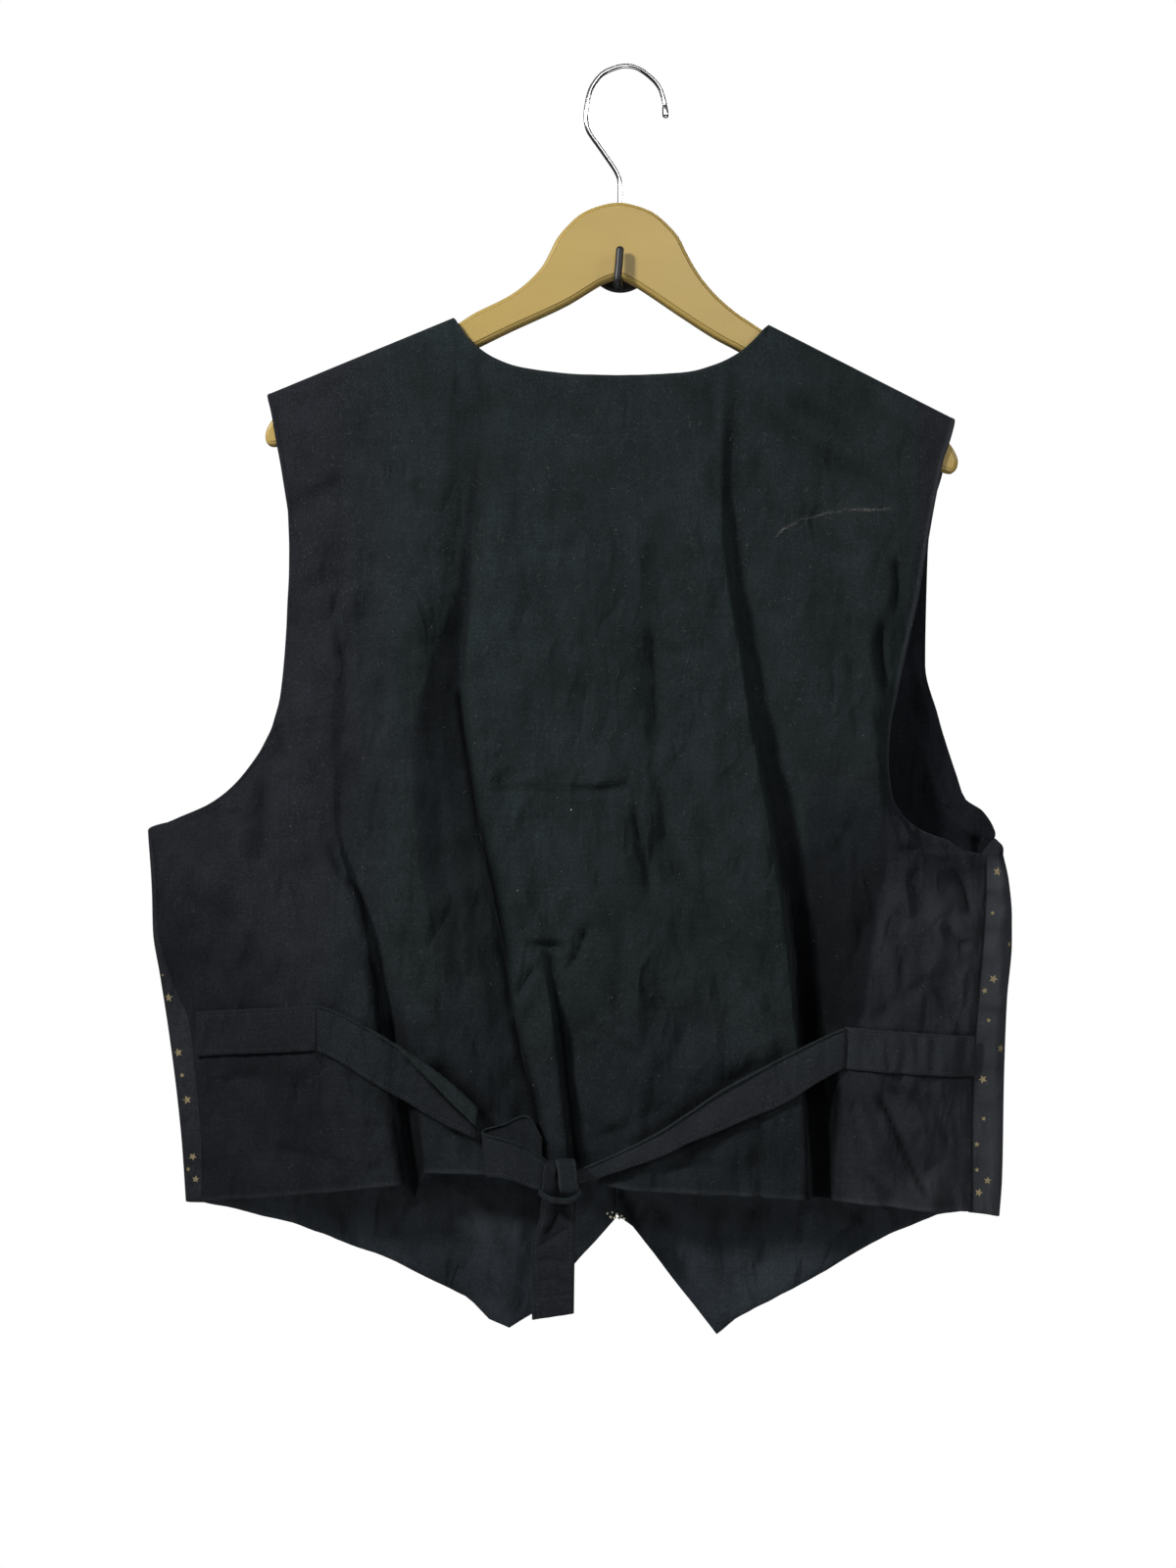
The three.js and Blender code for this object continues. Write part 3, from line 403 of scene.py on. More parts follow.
def cloth_material(name, green, blue, weave=1900.0, sheen=0.015, patches=True, shade=1.0, twill=False, crumple=1.0):
    m = Nodes(name)
    tone = m.attr('tone')
    drift = m.noise(7.0, 3.0, 0.6)
    fac = m.math('ADD', tone, m.math('MULTIPLY', m.math('SUBTRACT', drift, 0.5), 0.9), clamp=True)
    green = tuple(v * shade for v in green)
    blue = tuple(v * shade for v in blue)
    col = m.mix(fac, blue, green)
    # slubs: threads that are a little lighter or darker, across and along
    warp = m.noise(1.0, 2.0, 0.5, vec=m.scaled(900, 900, 22))
    weft = m.noise(1.0, 2.0, 0.5, vec=m.scaled(22, 22, 900))
    slub = m.math('MULTIPLY', m.math('ADD', warp, weft), 0.5)
    col = m.mix(1.0, col, m.ramp(slub, [(0.3, (0.88, 0.88, 0.88)), (0.5, (1, 1, 1)), (0.72, (1.14, 1.14, 1.14))]), 'MULTIPLY')
    grain = m.noise(900.0, 3.0, 0.7)
    col = m.mix(1.0, col, m.ramp(grain, [(0.32, (0.70, 0.70, 0.70)), (0.5, (1, 1, 1)), (0.70, (1.38, 1.38, 1.38))]), 'MULTIPLY')
    if patches:
        cloudy = m.noise(26.0, 4.0, 0.62)
        col = m.mix(1.0, col, m.ramp(cloudy, [(0.3, (0.76, 0.76, 0.76)), (0.5, (1, 1, 1)), (0.75, (1.27, 1.27, 1.27))]), 'MULTIPLY')
    # crumpled cloth: small folds with flat sides, mostly upright, more of them where `crush` is high
    crush = m.math('MULTIPLY', m.attr('crush'), crumple)
    folds = []
    for scale, turn, distance, sign in ((8.0, 0.5, 0.034, 1), (15.0, -0.6, 0.026, -1), (29.0, 0.35, 0.0165, 1), (52.0, -0.3, 0.0080, -1)):
        n = m.noise(1.0, 1.0, 0.5, vec=m.scaled(scale * 1.6, scale, scale * 0.7, (0, turn, 0)))
        fold = m.math('ABSOLUTE', m.math('SUBTRACT', n, 0.5))
        where = m.ramp(m.noise(scale * 0.5, 2.0, 0.5, vec=m.scaled(1.0, 1.3, 0.9, (0.3, turn, 0.7))), [(0.36, (0.15, 0.15, 0.15)), (0.62, (1, 1, 1))])
        folds.append((m.math('MULTIPLY', m.math('MULTIPLY', fold, where), m.math('MULTIPLY', crush, sign)), distance))
    # wear and painted light: paler where the cloth was rubbed and where light is painted on it, and fine dust
    dust = m.ramp(m.noise(520.0, 2.0, 0.75), [(0.60, (0, 0, 0)), (0.80, (1, 1, 1))])
    dust = m.math('MULTIPLY', m.math('MULTIPLY', dust, m.ramp(m.noise(16.0, 2.0), [(0.3, (0.2, 0.2, 0.2)), (0.65, (1, 1, 1))])), 0.50)
    col = m.mix(m.math('ADD', m.attr('wear_and_painted_light'), dust, clamp=True), col, (0.068, 0.074, 0.082))
    # painted shade: the colour goes towards near black as the shade attribute rises
    col = m.mix(m.attr('painted_shade'), col, (0.0006, 0.0007, 0.0008))
    m.set(Base_Color=col, Roughness=0.88, Sheen_Weight=sheen, Sheen_Roughness=0.45, Sheen_Tint=(0.75, 0.85, 0.9, 1.0))
    m.bsdf.inputs['Specular IOR Level'].default_value = 0.03
    if twill:
        thread = m.wave(weave / 6.283, 'DIAGONAL', 0.4)
    else:
        thread = m.math('MULTIPLY', m.wave(weave / 6.283, 'X', 0.6), m.wave(weave / 6.283, 'Z', 0.6))
    n1 = m.bump(m.math('ADD', thread, m.math('MULTIPLY', slub, 1.4)), 0.35, 0.00012)
    n2 = m.bump(m.noise(75.0, 4.0, 0.6), 0.28, 0.0011, prev=n1)
    n3 = m.bump(m.noise(21.0, 3.0, 0.5), 0.2, 0.0024, prev=n2)
    for h, distance in folds:
        n3 = m.bump(h, 0.8, distance, prev=n3)
    m.set(Normal=n3)
    return m.mat


GREEN = (0.0124, 0.0170, 0.0178)
BLUE = (0.0127, 0.0139, 0.0172)
BACK_MAT = cloth_material("black_cotton", GREEN, BLUE)
STRAP_MAT = cloth_material("black_cotton_strap", GREEN, BLUE, shade=1.0, patches=False)
LINING_MAT = cloth_material("black_lining", (0.0205, 0.0262, 0.0305), (0.0205, 0.0240, 0.0300), sheen=0.03)
FRONT_MAT = cloth_material("navy_black_suiting", (0.0158, 0.0168, 0.0205), (0.0158, 0.0168, 0.0205), weave=1500.0, sheen=0.02, twill=True)


def plain_detail(name, color, rough, metallic=0.0, vary=0.12, scale=60.0, bump=0.05, grain=None, coat=0.0, spec=0.5):
    m = Nodes(name)
    n = m.noise(scale, 4.0, 0.6, vec=m.scaled(*grain) if grain else None)
    lo, hi = 1 - vary, 1 + vary
    col = m.mix(1.0, color, m.ramp(n, [(0.25, (lo, lo, lo)), (0.5, (1, 1, 1)), (0.75, (hi, hi, hi))]), 'MULTIPLY')
    m.set(Base_Color=col, Metallic=metallic)
    m.set(Roughness=m.math('ADD', m.math('MULTIPLY', m.noise(scale * 2.2, 3.0), 0.12), rough - 0.06))
    m.bsdf.inputs['Specular IOR Level'].default_value = spec
    m.bsdf.inputs['Coat Weight'].default_value = coat
    m.bsdf.inputs['Coat Roughness'].default_value = 0.25
    m.set(Normal=m.bump(m.noise(scale * 6, 3.0, 0.6), bump, 0.0004))
    return m.mat


HANGER_MAT = plain_detail("tan_lacquer", (0.36, 0.252, 0.070), 0.42, vary=0.05, scale=9.0, bump=0.06, grain=(1.0, 1.0, 5.0), coat=0.15, spec=0.35)
CHROME_MAT = plain_detail("chrome_wire", (0.62, 0.62, 0.63), 0.14, metallic=1.0, vary=0.08, scale=300.0, bump=0.02)
BLACK_MAT = plain_detail("black_metal", (0.010, 0.010, 0.011), 0.42, metallic=0.3, vary=0.2, scale=200.0, bump=0.08)
BUTTON_MAT = plain_detail("dark_button", (0.014, 0.014, 0.018), 0.32, vary=0.25, scale=240.0, bump=0.05)
THREAD_MAT = plain_detail("black_thread", (0.020, 0.022, 0.024), 0.8, vary=0.3, scale=900.0, bump=0.2)
GOLD_MAT = plain_detail("dull_gold_print", (0.230, 0.185, 0.100), 0.5, metallic=0.2, vary=0.35, scale=700.0, bump=0.1)
PALE_GOLD_MAT = plain_detail("pale_gold_print", (0.95, 0.90, 0.74), 0.4, metallic=0.05, vary=0.3, scale=900.0, bump=0.1)
LINT_MAT = plain_detail("lint", (0.17, 0.17, 0.155), 0.85, vary=0.5, scale=90.0, bump=0.1)
SPECK_MAT = plain_detail("white_speck", (0.42, 0.42, 0.40), 0.8, vary=0.4, scale=90.0, bump=0.1)

# -------------------------------------------------------------- back panel
RIDGE_BACK = -36.3
CLOTH = 1.1
SHOULDER_LEFT = [dict(x=-227.4, z=-96.2), dict(x=-107.7, z=-46.8)]
SHOULDER_RIGHT = [dict(x=94.7, z=-51.3), dict(x=214.3, z=-112.1)]
NECK = [dict(x=x, z=z) for x, z in (
    (-107.7, -46.8), (-98.8, -60.2), (-90.6, -68.1), (-81.2, -74.1), (-68.7, -79.1), (-47.2, -82.9), (-21.4, -85.0), (-1.3, -85.4),
    (22.0, -84.8), (41.2, -83.5), (60.4, -78.4), (74.9, -70.9), (84.3, -62.8), (94.7, -51.3))]
BACK_SIDE_LEFT = [dict(z=z, x=x, y=y) for z, x, y in (
    (-96.2, -227.4, -43.6), (-106.2, -224.7, -43.6), (-127.6, -220.9, -43), (-144.6, -217.8, -43), (-161.6, -215.3, -42),
    (-173.5, -213.6, -42), (-200, -213.0, -41), (-235.8, -214.3, -41), (-260.4, -215.9, -41), (-284.3, -218.1, -41),
    (-305.7, -222.8, -41), (-322.7, -230.3, -40), (-337.1, -240.1, -39), (-350.4, -252.3, -38), (-359.5, -264.6, -37),
    (-370, -289.2, -35), (-377.3, -304.1, -33), (-392.2, -302, -33), (-416.2, -300.3, -33), (-440.9, -299.4, -33),
    (-456.8, -295.6, -33), (-470.1, -291.1, -33), (-485.9, -284.8, -33), (-498.5, -279.1, -33), (-525.8, -276, -33),
    (-556.8, -272.8, -33), (-584, -270.9, -33), (-616.3, -270.9, -33))]
BACK_SIDE_RIGHT = [dict(z=z, x=x, y=y) for z, x, y in (
    (-112.1, 214.3, -43.6), (-125.1, 210.8, -43.6), (-139.5, 206.1, -43), (-147.1, 204.5, -43), (-192.4, 196.3, -42),
    (-226.4, 190.7, -41), (-260.4, 183.1, -41), (-286.8, 177.4, -41), (-308.2, 173.0, -41), (-332.1, 171.2, -41),
    (-354.1, 173.7, -41), (-366.1, 179.7, -41), (-378.1, 195.1, -41), (-383.1, 209.5, -40), (-390.1, 222.2, -39),
    (-392.6, 234.4, -38), (-403.4, 234.7, -38), (-428.6, 234, -38), (-447.5, 232.8, -38), (-479, 230.3, -38),
    (-510.6, 227.7, -38), (-542.1, 226.5, -38), (-567.4, 225.8, -38), (-621.6, 225.8, -38))]
STATION = ['top', -170, -270, -370, -440, -510, -560, 'hem']
# line: x at the stations, y at the stations, hem height, columns before it
FOLDS = [
    ('pleat_left_edge', 40, -600.6, (-184.7, -184.7, -184.7, -183, -163.3, -153.5, -145.5, -138.6), (-44.5, -49, -52, -54.5, -58.5, -60, -59, -57)),
    ('pleat_left_valley', 7, -613, (-176, -178, -178, -178, -158.5, -149, -141, -133), (-44.5, -48.6, -51, -51.5, -48, -44, -41, -38)),
    ('pleat_left_inner', 10, -595, (-146.2, -146, -148, -150, -143, -135, -130, -125), (-44.5, -50, -53, -55.5, -56, -56.5, -56, -54)),
    ('soft_left', 9, -594.3, (-107.7, -116, -131, -136, -130, -118, -112, -108), (-44, -52.0, -55.8, -58, -59.5, -60, -59, -56)),
    ('neck_left', 7, -594.5, (-104, -103, -117, -117, -105, -92, -84, -79), (-44.4, -47.6, -49.0, -52.5, -54.5, -56.5, -57, -54)),
    ('crisp_left_valley', 10, -596, (-90, -91, -103.0, -92.2, -78.5, -65.7, -56.2, -51.0), (-44.8, -44.6, -42.0, -44, -46, -47, -48, -46)),
    ('crisp_left_edge', 8, -597.2, (-71.1, -80, -97.4, -88.9, -75.4, -62.6, -53.0, -47.9), (-45.8, -51.0, -54.5, -59.5, -61, -61.5, -61, -58)),
    ('crisp_mid_edge', 11, -599.4, (-48.7, -50, -51.1, -53.1, -52.3, -42.6, -37.4, -33.2), (-46, -51, -55.6, -59, -62, -64, -63, -60)),
    ('crisp_mid_valley', 8, -600.6, (-40, -41.5, -42.5, -43.5, -46.8, -37.8, -32.4, -28), (-46, -51, -55.2, -58.6, -60.5, -50, -48, -46)),
    ('centre', 17, -604.4, (-1, 1, 2.5, 5, 8.5, 10, 10, 10), (-46.5, -51, -55, -59, -60.5, -61, -60, -58)),
    ('soft_right', 16, -607.6, (30, 24, 21, 27, 44, 52, 55, 58), (-46.5, -50.6, -53.4, -56, -57.5, -58.5, -58.5, -56.5)),
    ('deep_right_edge', 18, -609.9, (64.2, 62.1, 74.2, 90.4, 101.7, 109.5, 113.4, 116.5), (-46.6, -53, -58, -62, -63.5, -63, -62, -59)),
    ('deep_right_valley', 11, -612.4, (76, 70, 83.4, 101.5, 113, 118, 121, 125.2), (-45.2, -44.8, -42.5, -41, -39, -38, -37, -36)),
    ('neck_right', 6, -612.2, (91.2, 84, 95, 113.5, 125.5, 129, 130.3, 132.4), (-44.4, -46, -45.4, -45, -43.5, -43, -42, -40)),
    ('deep_right_inner', 6, -611.8, (94.7, 97, 112, 129, 137.0, 137.4, 137.0, 137.5), (-44, -48.6, -51.4, -54, -56.5, -58, -57, -54)),
    ('right_ridge', 15, -614.2, (148.7, 151.5, 157, 162, 160, 157, 157, 158), (-44.5, -49, -54, -58, -59, -59, -58, -55)),
]
SIDE_COLUMNS = 38
UNDERARM = [dict(x=-304.1, z=-377.3), dict(x=234.4, z=-392.6)]


def top_at(x):
    x = np.asarray(x, float)
    out = table(NECK, 'x', 'z', x)
    out = np.where(x < NECK[0]['x'], table(SHOULDER_LEFT, 'x', 'z', x, False), out)
    return np.where(x > NECK[-1]['x'], table(SHOULDER_RIGHT, 'x', 'z', x, False), out)


def back_rows(top, under, hem):
    f = np.array([0, 0.5, 1.1, 1.9, 3.0, 4.4, 6.2, 8.4, 11.0])
    upper = ladder([(top - 11.0, 0, 1), (under, 93, 1.25)])[1:]
    lower = ladder([(under, 0, 1), (hem + 4.0, 92, 1.0), (hem + 2.4, 1, 1), (hem + 1.0, 1, 1), (hem, 1, 1)])[1:]
    return np.concatenate([top - f, upper, lower])


def back_grid():
    lines = []
    z = back_rows(-96.2, -377.3, -616.3)
    lines.append((0, table(BACK_SIDE_LEFT, 'z', 'x', z), table(BACK_SIDE_LEFT, 'z', 'y', z), z))
    for name, cells, hem, xs, ys in FOLDS:
        top = float(top_at(xs[0]))
        zt = [top] + [s for s in STATION[1:-1]] + [hem]
        rows = [dict(z=a, x=b, y=c) for a, b, c in zip(zt, xs, ys)]
        under = float(np.interp(xs[3], [u['x'] for u in UNDERARM], [u['z'] for u in UNDERARM]))
        z = back_rows(top, under, hem)
        lines.append((cells, table(rows, 'z', 'x', z), table(rows, 'z', 'y', z), z))
    z = back_rows(-112.1, -392.6, -621.6)
    lines.append((SIDE_COLUMNS, table(BACK_SIDE_RIGHT, 'z', 'x', z), table(BACK_SIDE_RIGHT, 'z', 'y', z), z))
    R = len(z)
    X, Y, Z = [lines[0][1]], [lines[0][2]], [lines[0][3]]
    fade = np.clip(1 - np.arange(R) / 60.0, 0, 1)
    for k in range(1, len(lines)):
        cells, bx, by, bz = lines[k]
        _, ax, ay, az = lines[k - 1]
        for c in range(1, cells + 1):
            t = c / cells
            if k == 1:
                t = t ** 1.6 if t < 0.999 else 1.0
            if k == len(lines) - 1:
                t = 1 - (1 - t) ** 1.6
            w = float(smooth(t))
            if k == 1:
                w = math.sin(t * math.pi / 2)
            if k == len(lines) - 1:
                w = 1 - math.cos(t * math.pi / 2)
            x = lerp(ax, bx, t)
            bulge = float(top_at(x[0])) - lerp(az[0], bz[0], t)
            X.append(x)
            Y.append(lerp(ay, by, w))
            Z.append(lerp(az, bz, t) + bulge * fade)
    g = np.stack([np.stack(X, 1), np.stack(Y, 1), np.stack(Z, 1)], -1)
    # between the side lines the depth follows one curve across all the folds
    at = np.cumsum([c for c, _, _, _ in lines])
    at[0] = 0
    lx, ly = np.stack([v[1] for v in lines], 1), np.stack([v[2] for v in lines], 1)
    a, b = at[1], at[-2]
    for r in range(R):
        g[r, a:b + 1, 1] = pchip(lx[r, 1:-1], ly[r, 1:-1], np.clip(g[r, a:b + 1, 0], lx[r, 1], lx[r, -2]))
    return g


back = back_grid()
bx, bz = back[..., 0].copy(), back[..., 2].copy()
R, C = back.shape[:2]
d_top = back[0:1, :, 2] - bz
low = smooth((d_top - 40) / 160)
# soft unevenness of the cloth, more of it lower down
back[..., 1] += waves(bx, bz, 95, 3) * 1.1 * low + waves(bx, bz, 38, 5) * 0.5 * (0.3 + 0.7 * low) + waves(bx, bz, 17, 6) * 0.16
# crumpled where the cloth was worn and packed: folds with flat sides
inner = smooth(np.minimum(bx - bx[:, :1], bx[:, -1:] - bx) / 24) * smooth((d_top - 14) / 40)
crush = (0.30 + 0.70 * low) * (1 + 0.5 * smooth((bx - 150) / 25) * smooth((-395 - bz) / 20) + 0.5 * smooth((bx - 85) / 30) * smooth((bz + 210) / 40))
for size, seed, deep in ((130, 11, 3.4), (78, 12, -2.4), (47, 14, 1.6), (30, 15, -0.9)):
    patch = 0.25 + 0.75 * smooth(waves(bx, bz, 140, seed + 40) * 0.8 + 0.4)
    back[..., 1] += 0.82 * deep * (np.abs(waves(bx, bz, size, seed)) - 0.55) * patch * crush * inner
BACK_CREASES = [
    ('side_left_1', 3.6, 4.0, 7.0, [(-232, -340), (-230, -364), (-233, -404)]),
    ('side_left_2', 2.6, 4.0, 6.0, [(-220, -304), (-216, -336)]),
    ('side_left_3', 2.0, 3.0, 5.0, [(-200, -392), (-195, -410)]),
    ('side_left_4', 2.8, 5.0, 6.0, [(-241, -436), (-232, -462), (-218, -482)]),
    ('side_left_5', 1.8, 4.0, 6.0, [(-211, -406), (-207, -432), (-204, -460)]),
    ('side_left_6', 1.8, 5.0, 7.0, [(-288, -420), (-268, -424), (-240, -440)]),
    ('side_left_7', 1.8, 4.0, 6.0, [(-262, -368), (-247, -366), (-236, -376)]),
    ('pleat_twin_1', 2.2, 2.4, 4.0, [(-186, -366), (-184, -392), (-178, -412)]),
    ('armhole_left_1', 1.6, 3.0, 6.0, [(-295, -379), (-277, -370), (-251, -360)]),
    ('armhole_left_2', 2.2, 4.0, 8.0, [(-216, -170), (-192, -159), (-172, -148)]),
    ('armhole_left_3', 1.4, 5.0, 8.0, [(-209, -226), (-190, -216), (-160, -213)]),
    ('armhole_left_4', 1.8, 4.0, 6.0, [(-216, -284), (-212, -300), (-206, -322)]),
    ('faint_left_1', 2.2, 2.2, 3.0, [(-105, -418), (-105, -446), (-102, -496)]),
    ('faint_left_2', 1.6, 5.0, 8.0, [(-117, -341), (-115, -383), (-113, -425)]),
    ('faint_left_3', 1.6, 6.0, 9.0, [(-134, -425), (-130, -467), (-123, -500)]),
    ('faint_left_4', 1.6, 4.0, 6.0, [(-110, -500), (-118, -480), (-121, -455)]),
    ('pressed_1', 2.2, 2.0, 3.4, [(-86, -350), (-66, -349), (-44, -347.5)]),
    ('pressed_2', 2.6, 2.0, 3.4, [(-47, -347.5), (-21, -350), (9, -347)]),
    ('pressed_3', 1.6, 2.2, 4.0, [(-83, -347), (-72, -341), (-58, -338)]),
    ('tuck', 3.4, 1.8, 3.6, [(-63, -446), (-50, -448), (-33, -448.5)]),
    ('oblique_1', 3.6, 2.4, 4.6, [(-20, -433), (-26, -449), (-36, -469)]),
    ('oblique_3', 2.4, 2.2, 4.0, [(-69, -485), (-62, -472), (-54, -459)]),
    ('centre_1', 4.0, 4.0, 7.0, [(19, -238), (21, -266), (22, -299), (24, -334)]),
    ('centre_2', 4.2, 4.0, 8.0, [(24, -337), (27, -366), (33, -396), (42, -427)]),
    ('centre_3', 3.4, 4.0, 6.0, [(8, -357), (12, -383), (16, -404), (21, -427)]),
    ('centre_4', 2.6, 5.0, 7.0, [(-3, -416), (-1, -450), (-3, -492), (-6, -517)]),
    ('centre_5', 2.2, 3.0, 6.0, [(-25, -484), (-12, -505), (17, -521)]),
    ('centre_6', 2.4, 5.0, 7.0, [(42, -427), (55, -461), (65, -488)]),
    ('centre_7', 1.8, 4.0, 6.0, [(9, -249), (25, -259), (46, -266)]),
    ('centre_8', 2.0, 4.0, 6.0, [(48, -330), (53, -372), (62, -410)]),
    ('centre_9', 2.0, 3.0, 5.0, [(66, -440), (78, -470), (98, -492)]),
    ('centre_10', 1.8, 3.0, 5.0, [(88, -440), (94, -462), (100, -486)]),
    ('upper_1', 1.2, 3.0, 5.0, [(-46, -165), (-29, -169), (-12, -167)]),
    ('upper_2', 1.2, 3.0, 5.0, [(-58, -192), (-42, -196), (-21, -194)]),
    ('hem_1', 4.2, 1.6, 4.4, [(87, -553), (87, -580), (89, -640)]),
    ('hem_2', 2.4, 3.0, 5.0, [(56, -530), (71, -534), (88, -517)]),
    ('hem_3', 2.0, 4.0, 7.0, [(-25, -576), (4, -563), (42, -542)]),
    ('hem_4', 2.4, 5.0, 7.0, [(-113, -542), (-105, -567), (-88, -593)]),
    ('hem_5', 2.8, 2.0, 4.0, [(-118, -599), (-98, -601), (-72, -597)]),
    ('hem_6', 1.8, 3.0, 5.0, [(20, -596), (38, -588), (66, -590)]),
    ('shoulder_right_1', 3.0, 5.0, 9.0, [(84, -92), (104, -116), (140, -140), (192, -168)]),
    ('shoulder_right_2', 2.6, 5.0, 8.0, [(84, -128), (92, -154), (108, -180)]),
    ('shoulder_right_3', 2.6, 5.0, 8.0, [(104, -92), (130, -112), (160, -134)]),
    ('shoulder_right_4', 2.2, 4.0, 7.0, [(117, -165), (136, -190), (158, -206)]),
    ('shoulder_right_5', 1.8, 4.0, 7.0, [(150, -92), (172, -112), (200, -130)]),
    ('scuff_fold', 1.6, 2.0, 3.4, [(99, -188), (122, -176), (164, -172)]),
    ('armhole_right_1', 3.0, 2.6, 3.6, [(175, -200), (177, -219), (176, -238)]),
    ('armhole_right_2', 3.6, 3.0, 4.6, [(166, -240), (166, -262), (170, -290)]),
    ('armhole_right_3', 1.8, 4.0, 6.0, [(151, -182), (164, -190), (178, -194)]),
    ('armhole_right_4', 2.0, 5.0, 6.0, [(147, -282), (160, -299), (168, -324)]),
    ('armhole_right_5', 2.2, 3.0, 5.0, [(150, -250), (148, -290), (152, -330)]),
    ('right_part_1', 3.6, 3.0, 4.2, [(208, -397), (219, -412), (222, -424), (226, -436)]),
    ('right_part_2', 3.0, 4.0, 5.0, [(191, -396), (186, -410), (192, -424), (200, -434)]),
    ('right_part_3', 2.4, 3.4, 5.0, [(172, -386), (193, -392), (216, -400)]),
    ('right_part_4', 2.2, 5.0, 6.0, [(168, -425), (178, -458), (172, -492)]),
    ('right_part_5', 2.4, 4.0, 6.0, [(202, -434), (213, -446), (225, -453)]),
    ('right_part_6', 2.0, 4.0, 6.0, [(150, -500), (176, -484), (206, -464)]),
    ('right_part_7', 2.0, 4.0, 6.0, [(196, -474), (208, -488), (214, -500)]),
    ('strap_corner_1', 3.6, 2.2, 4.0, [(161, -538), (170, -559), (182, -588), (193, -616)]),
    ('strap_corner_2', 2.4, 2.4, 5.0, [(146, -530), (164, -566), (184, -604), (198, -624)]),
    ('strap_corner_3', 2.2, 3.0, 5.0, [(165, -536), (184, -547), (206, -560)]),
    ('strap_corner_4', 2.6, 2.2, 4.0, [(155, -592), (167, -606), (178, -612)]),
    ('strap_corner_5', 2.0, 3.0, 5.0, [(146, -540), (150, -566), (156, -590)]),
    ('strap_corner_6', 1.8, 3.0, 5.0, [(192, -540), (204, -562), (214, -590)]),
    ('left_low_1', 1.8, 4.0, 6.0, [(-264, -542), (-239, -534), (-214, -536)]),
    ('left_low_2', 2.2, 5.0, 7.0, [(-209, -526), (-193, -551), (-176, -572)]),
    ('left_low_3', 2.4, 4.0, 6.0, [(-176, -521), (-163, -546), (-151, -576)]),
    ('left_low_4', 1.8, 4.0, 7.0, [(-230, -576), (-197, -584), (-163, -593)]),
    ('left_low_5', 1.8, 4.0, 6.0, [(-172, -600), (-160, -592), (-148, -588)]),
    ('neck_1', 1.4, 5.0, 8.0, [(-96, -73), (-86, -94), (-79, -119)]),
    ('neck_2', 2.2, 4.0, 6.0, [(55, -85), (59, -106), (57, -131)]),
]
LINING_LEFT_CREASES = [
    ('low_left_1', 1.6, 6.0, 8.0, [(-193, -619), (-180, -636), (-172, -655)]),
    ('low_left_2', 1.8, 6.0, 9.0, [(-152, -615), (-148, -638), (-133, -660)]),
    ('low_left_3', 1.6, 5.0, 8.0, [(-128, -612), (-120, -643), (-107, -673)]),
    ('low_left_4', 2.0, 5.0, 8.0, [(-92, -608), (-81, -638), (-68, -660)]),
    ('low_left_5', 1.4, 4.0, 6.0, [(-75, -651), (-70, -677), (-72, -699)]),
    ('low_left_6', 1.2, 4.0, 6.0, [(-116, -651), (-90, -664), (-64, -686)]),
    ('low_left_7', 1.6, 4.0, 6.0, [(-64, -612), (-64, -643), (-65, -686)]),
]
LINING_RIGHT_CREASES = [
    ('low_right_1', 1.6, 6.0, 9.0, [(22, -621), (31, -651), (53, -686)]),
    ('low_right_2', 1.8, 5.0, 8.0, [(68, -617), (61, -643), (65, -673)]),
    ('low_right_3', 1.6, 5.0, 8.0, [(91, -619), (89, -643), (93, -664)]),
    ('low_right_4', 1.4, 5.0, 8.0, [(126, -619), (130, -638), (121, -655)]),
    ('low_right_5', 1.2, 4.0, 7.0, [(5, -625), (18, -634), (44, -643)]),
    ('low_right_6', 1.1, 4.0, 6.0, [(44, -660), (65, -664), (91, -660)]),
    ('low_right_7', 1.2, 5.0, 7.0, [(160, -619), (156, -632), (147, -643)]),
    ('arm_right_1', 1.6, 5.0, 8.0, [(188, -246), (195, -281), (210, -315)]),
    ('arm_right_2', 1.8, 4.0, 6.0, [(206, -341), (216, -367), (238, -384)]),
    ('arm_right_3', 1.2, 6.0, 8.0, [(184, -298), (201, -332), (212, -367)]),
]
# painted light: paler patches of the right side part: middle, half sizes, how pale
PAINTED_LIGHT_PATCHES = [(208, -424, 20, 17, 0.20), (223, -470, 9, 30, 0.12), (201, -603, 19, 12, 0.24), (176, -548, 10, 14, 0.05), (186, -452, 8, 12, -0.04), (214, -566, 9, 22, 0.09)]
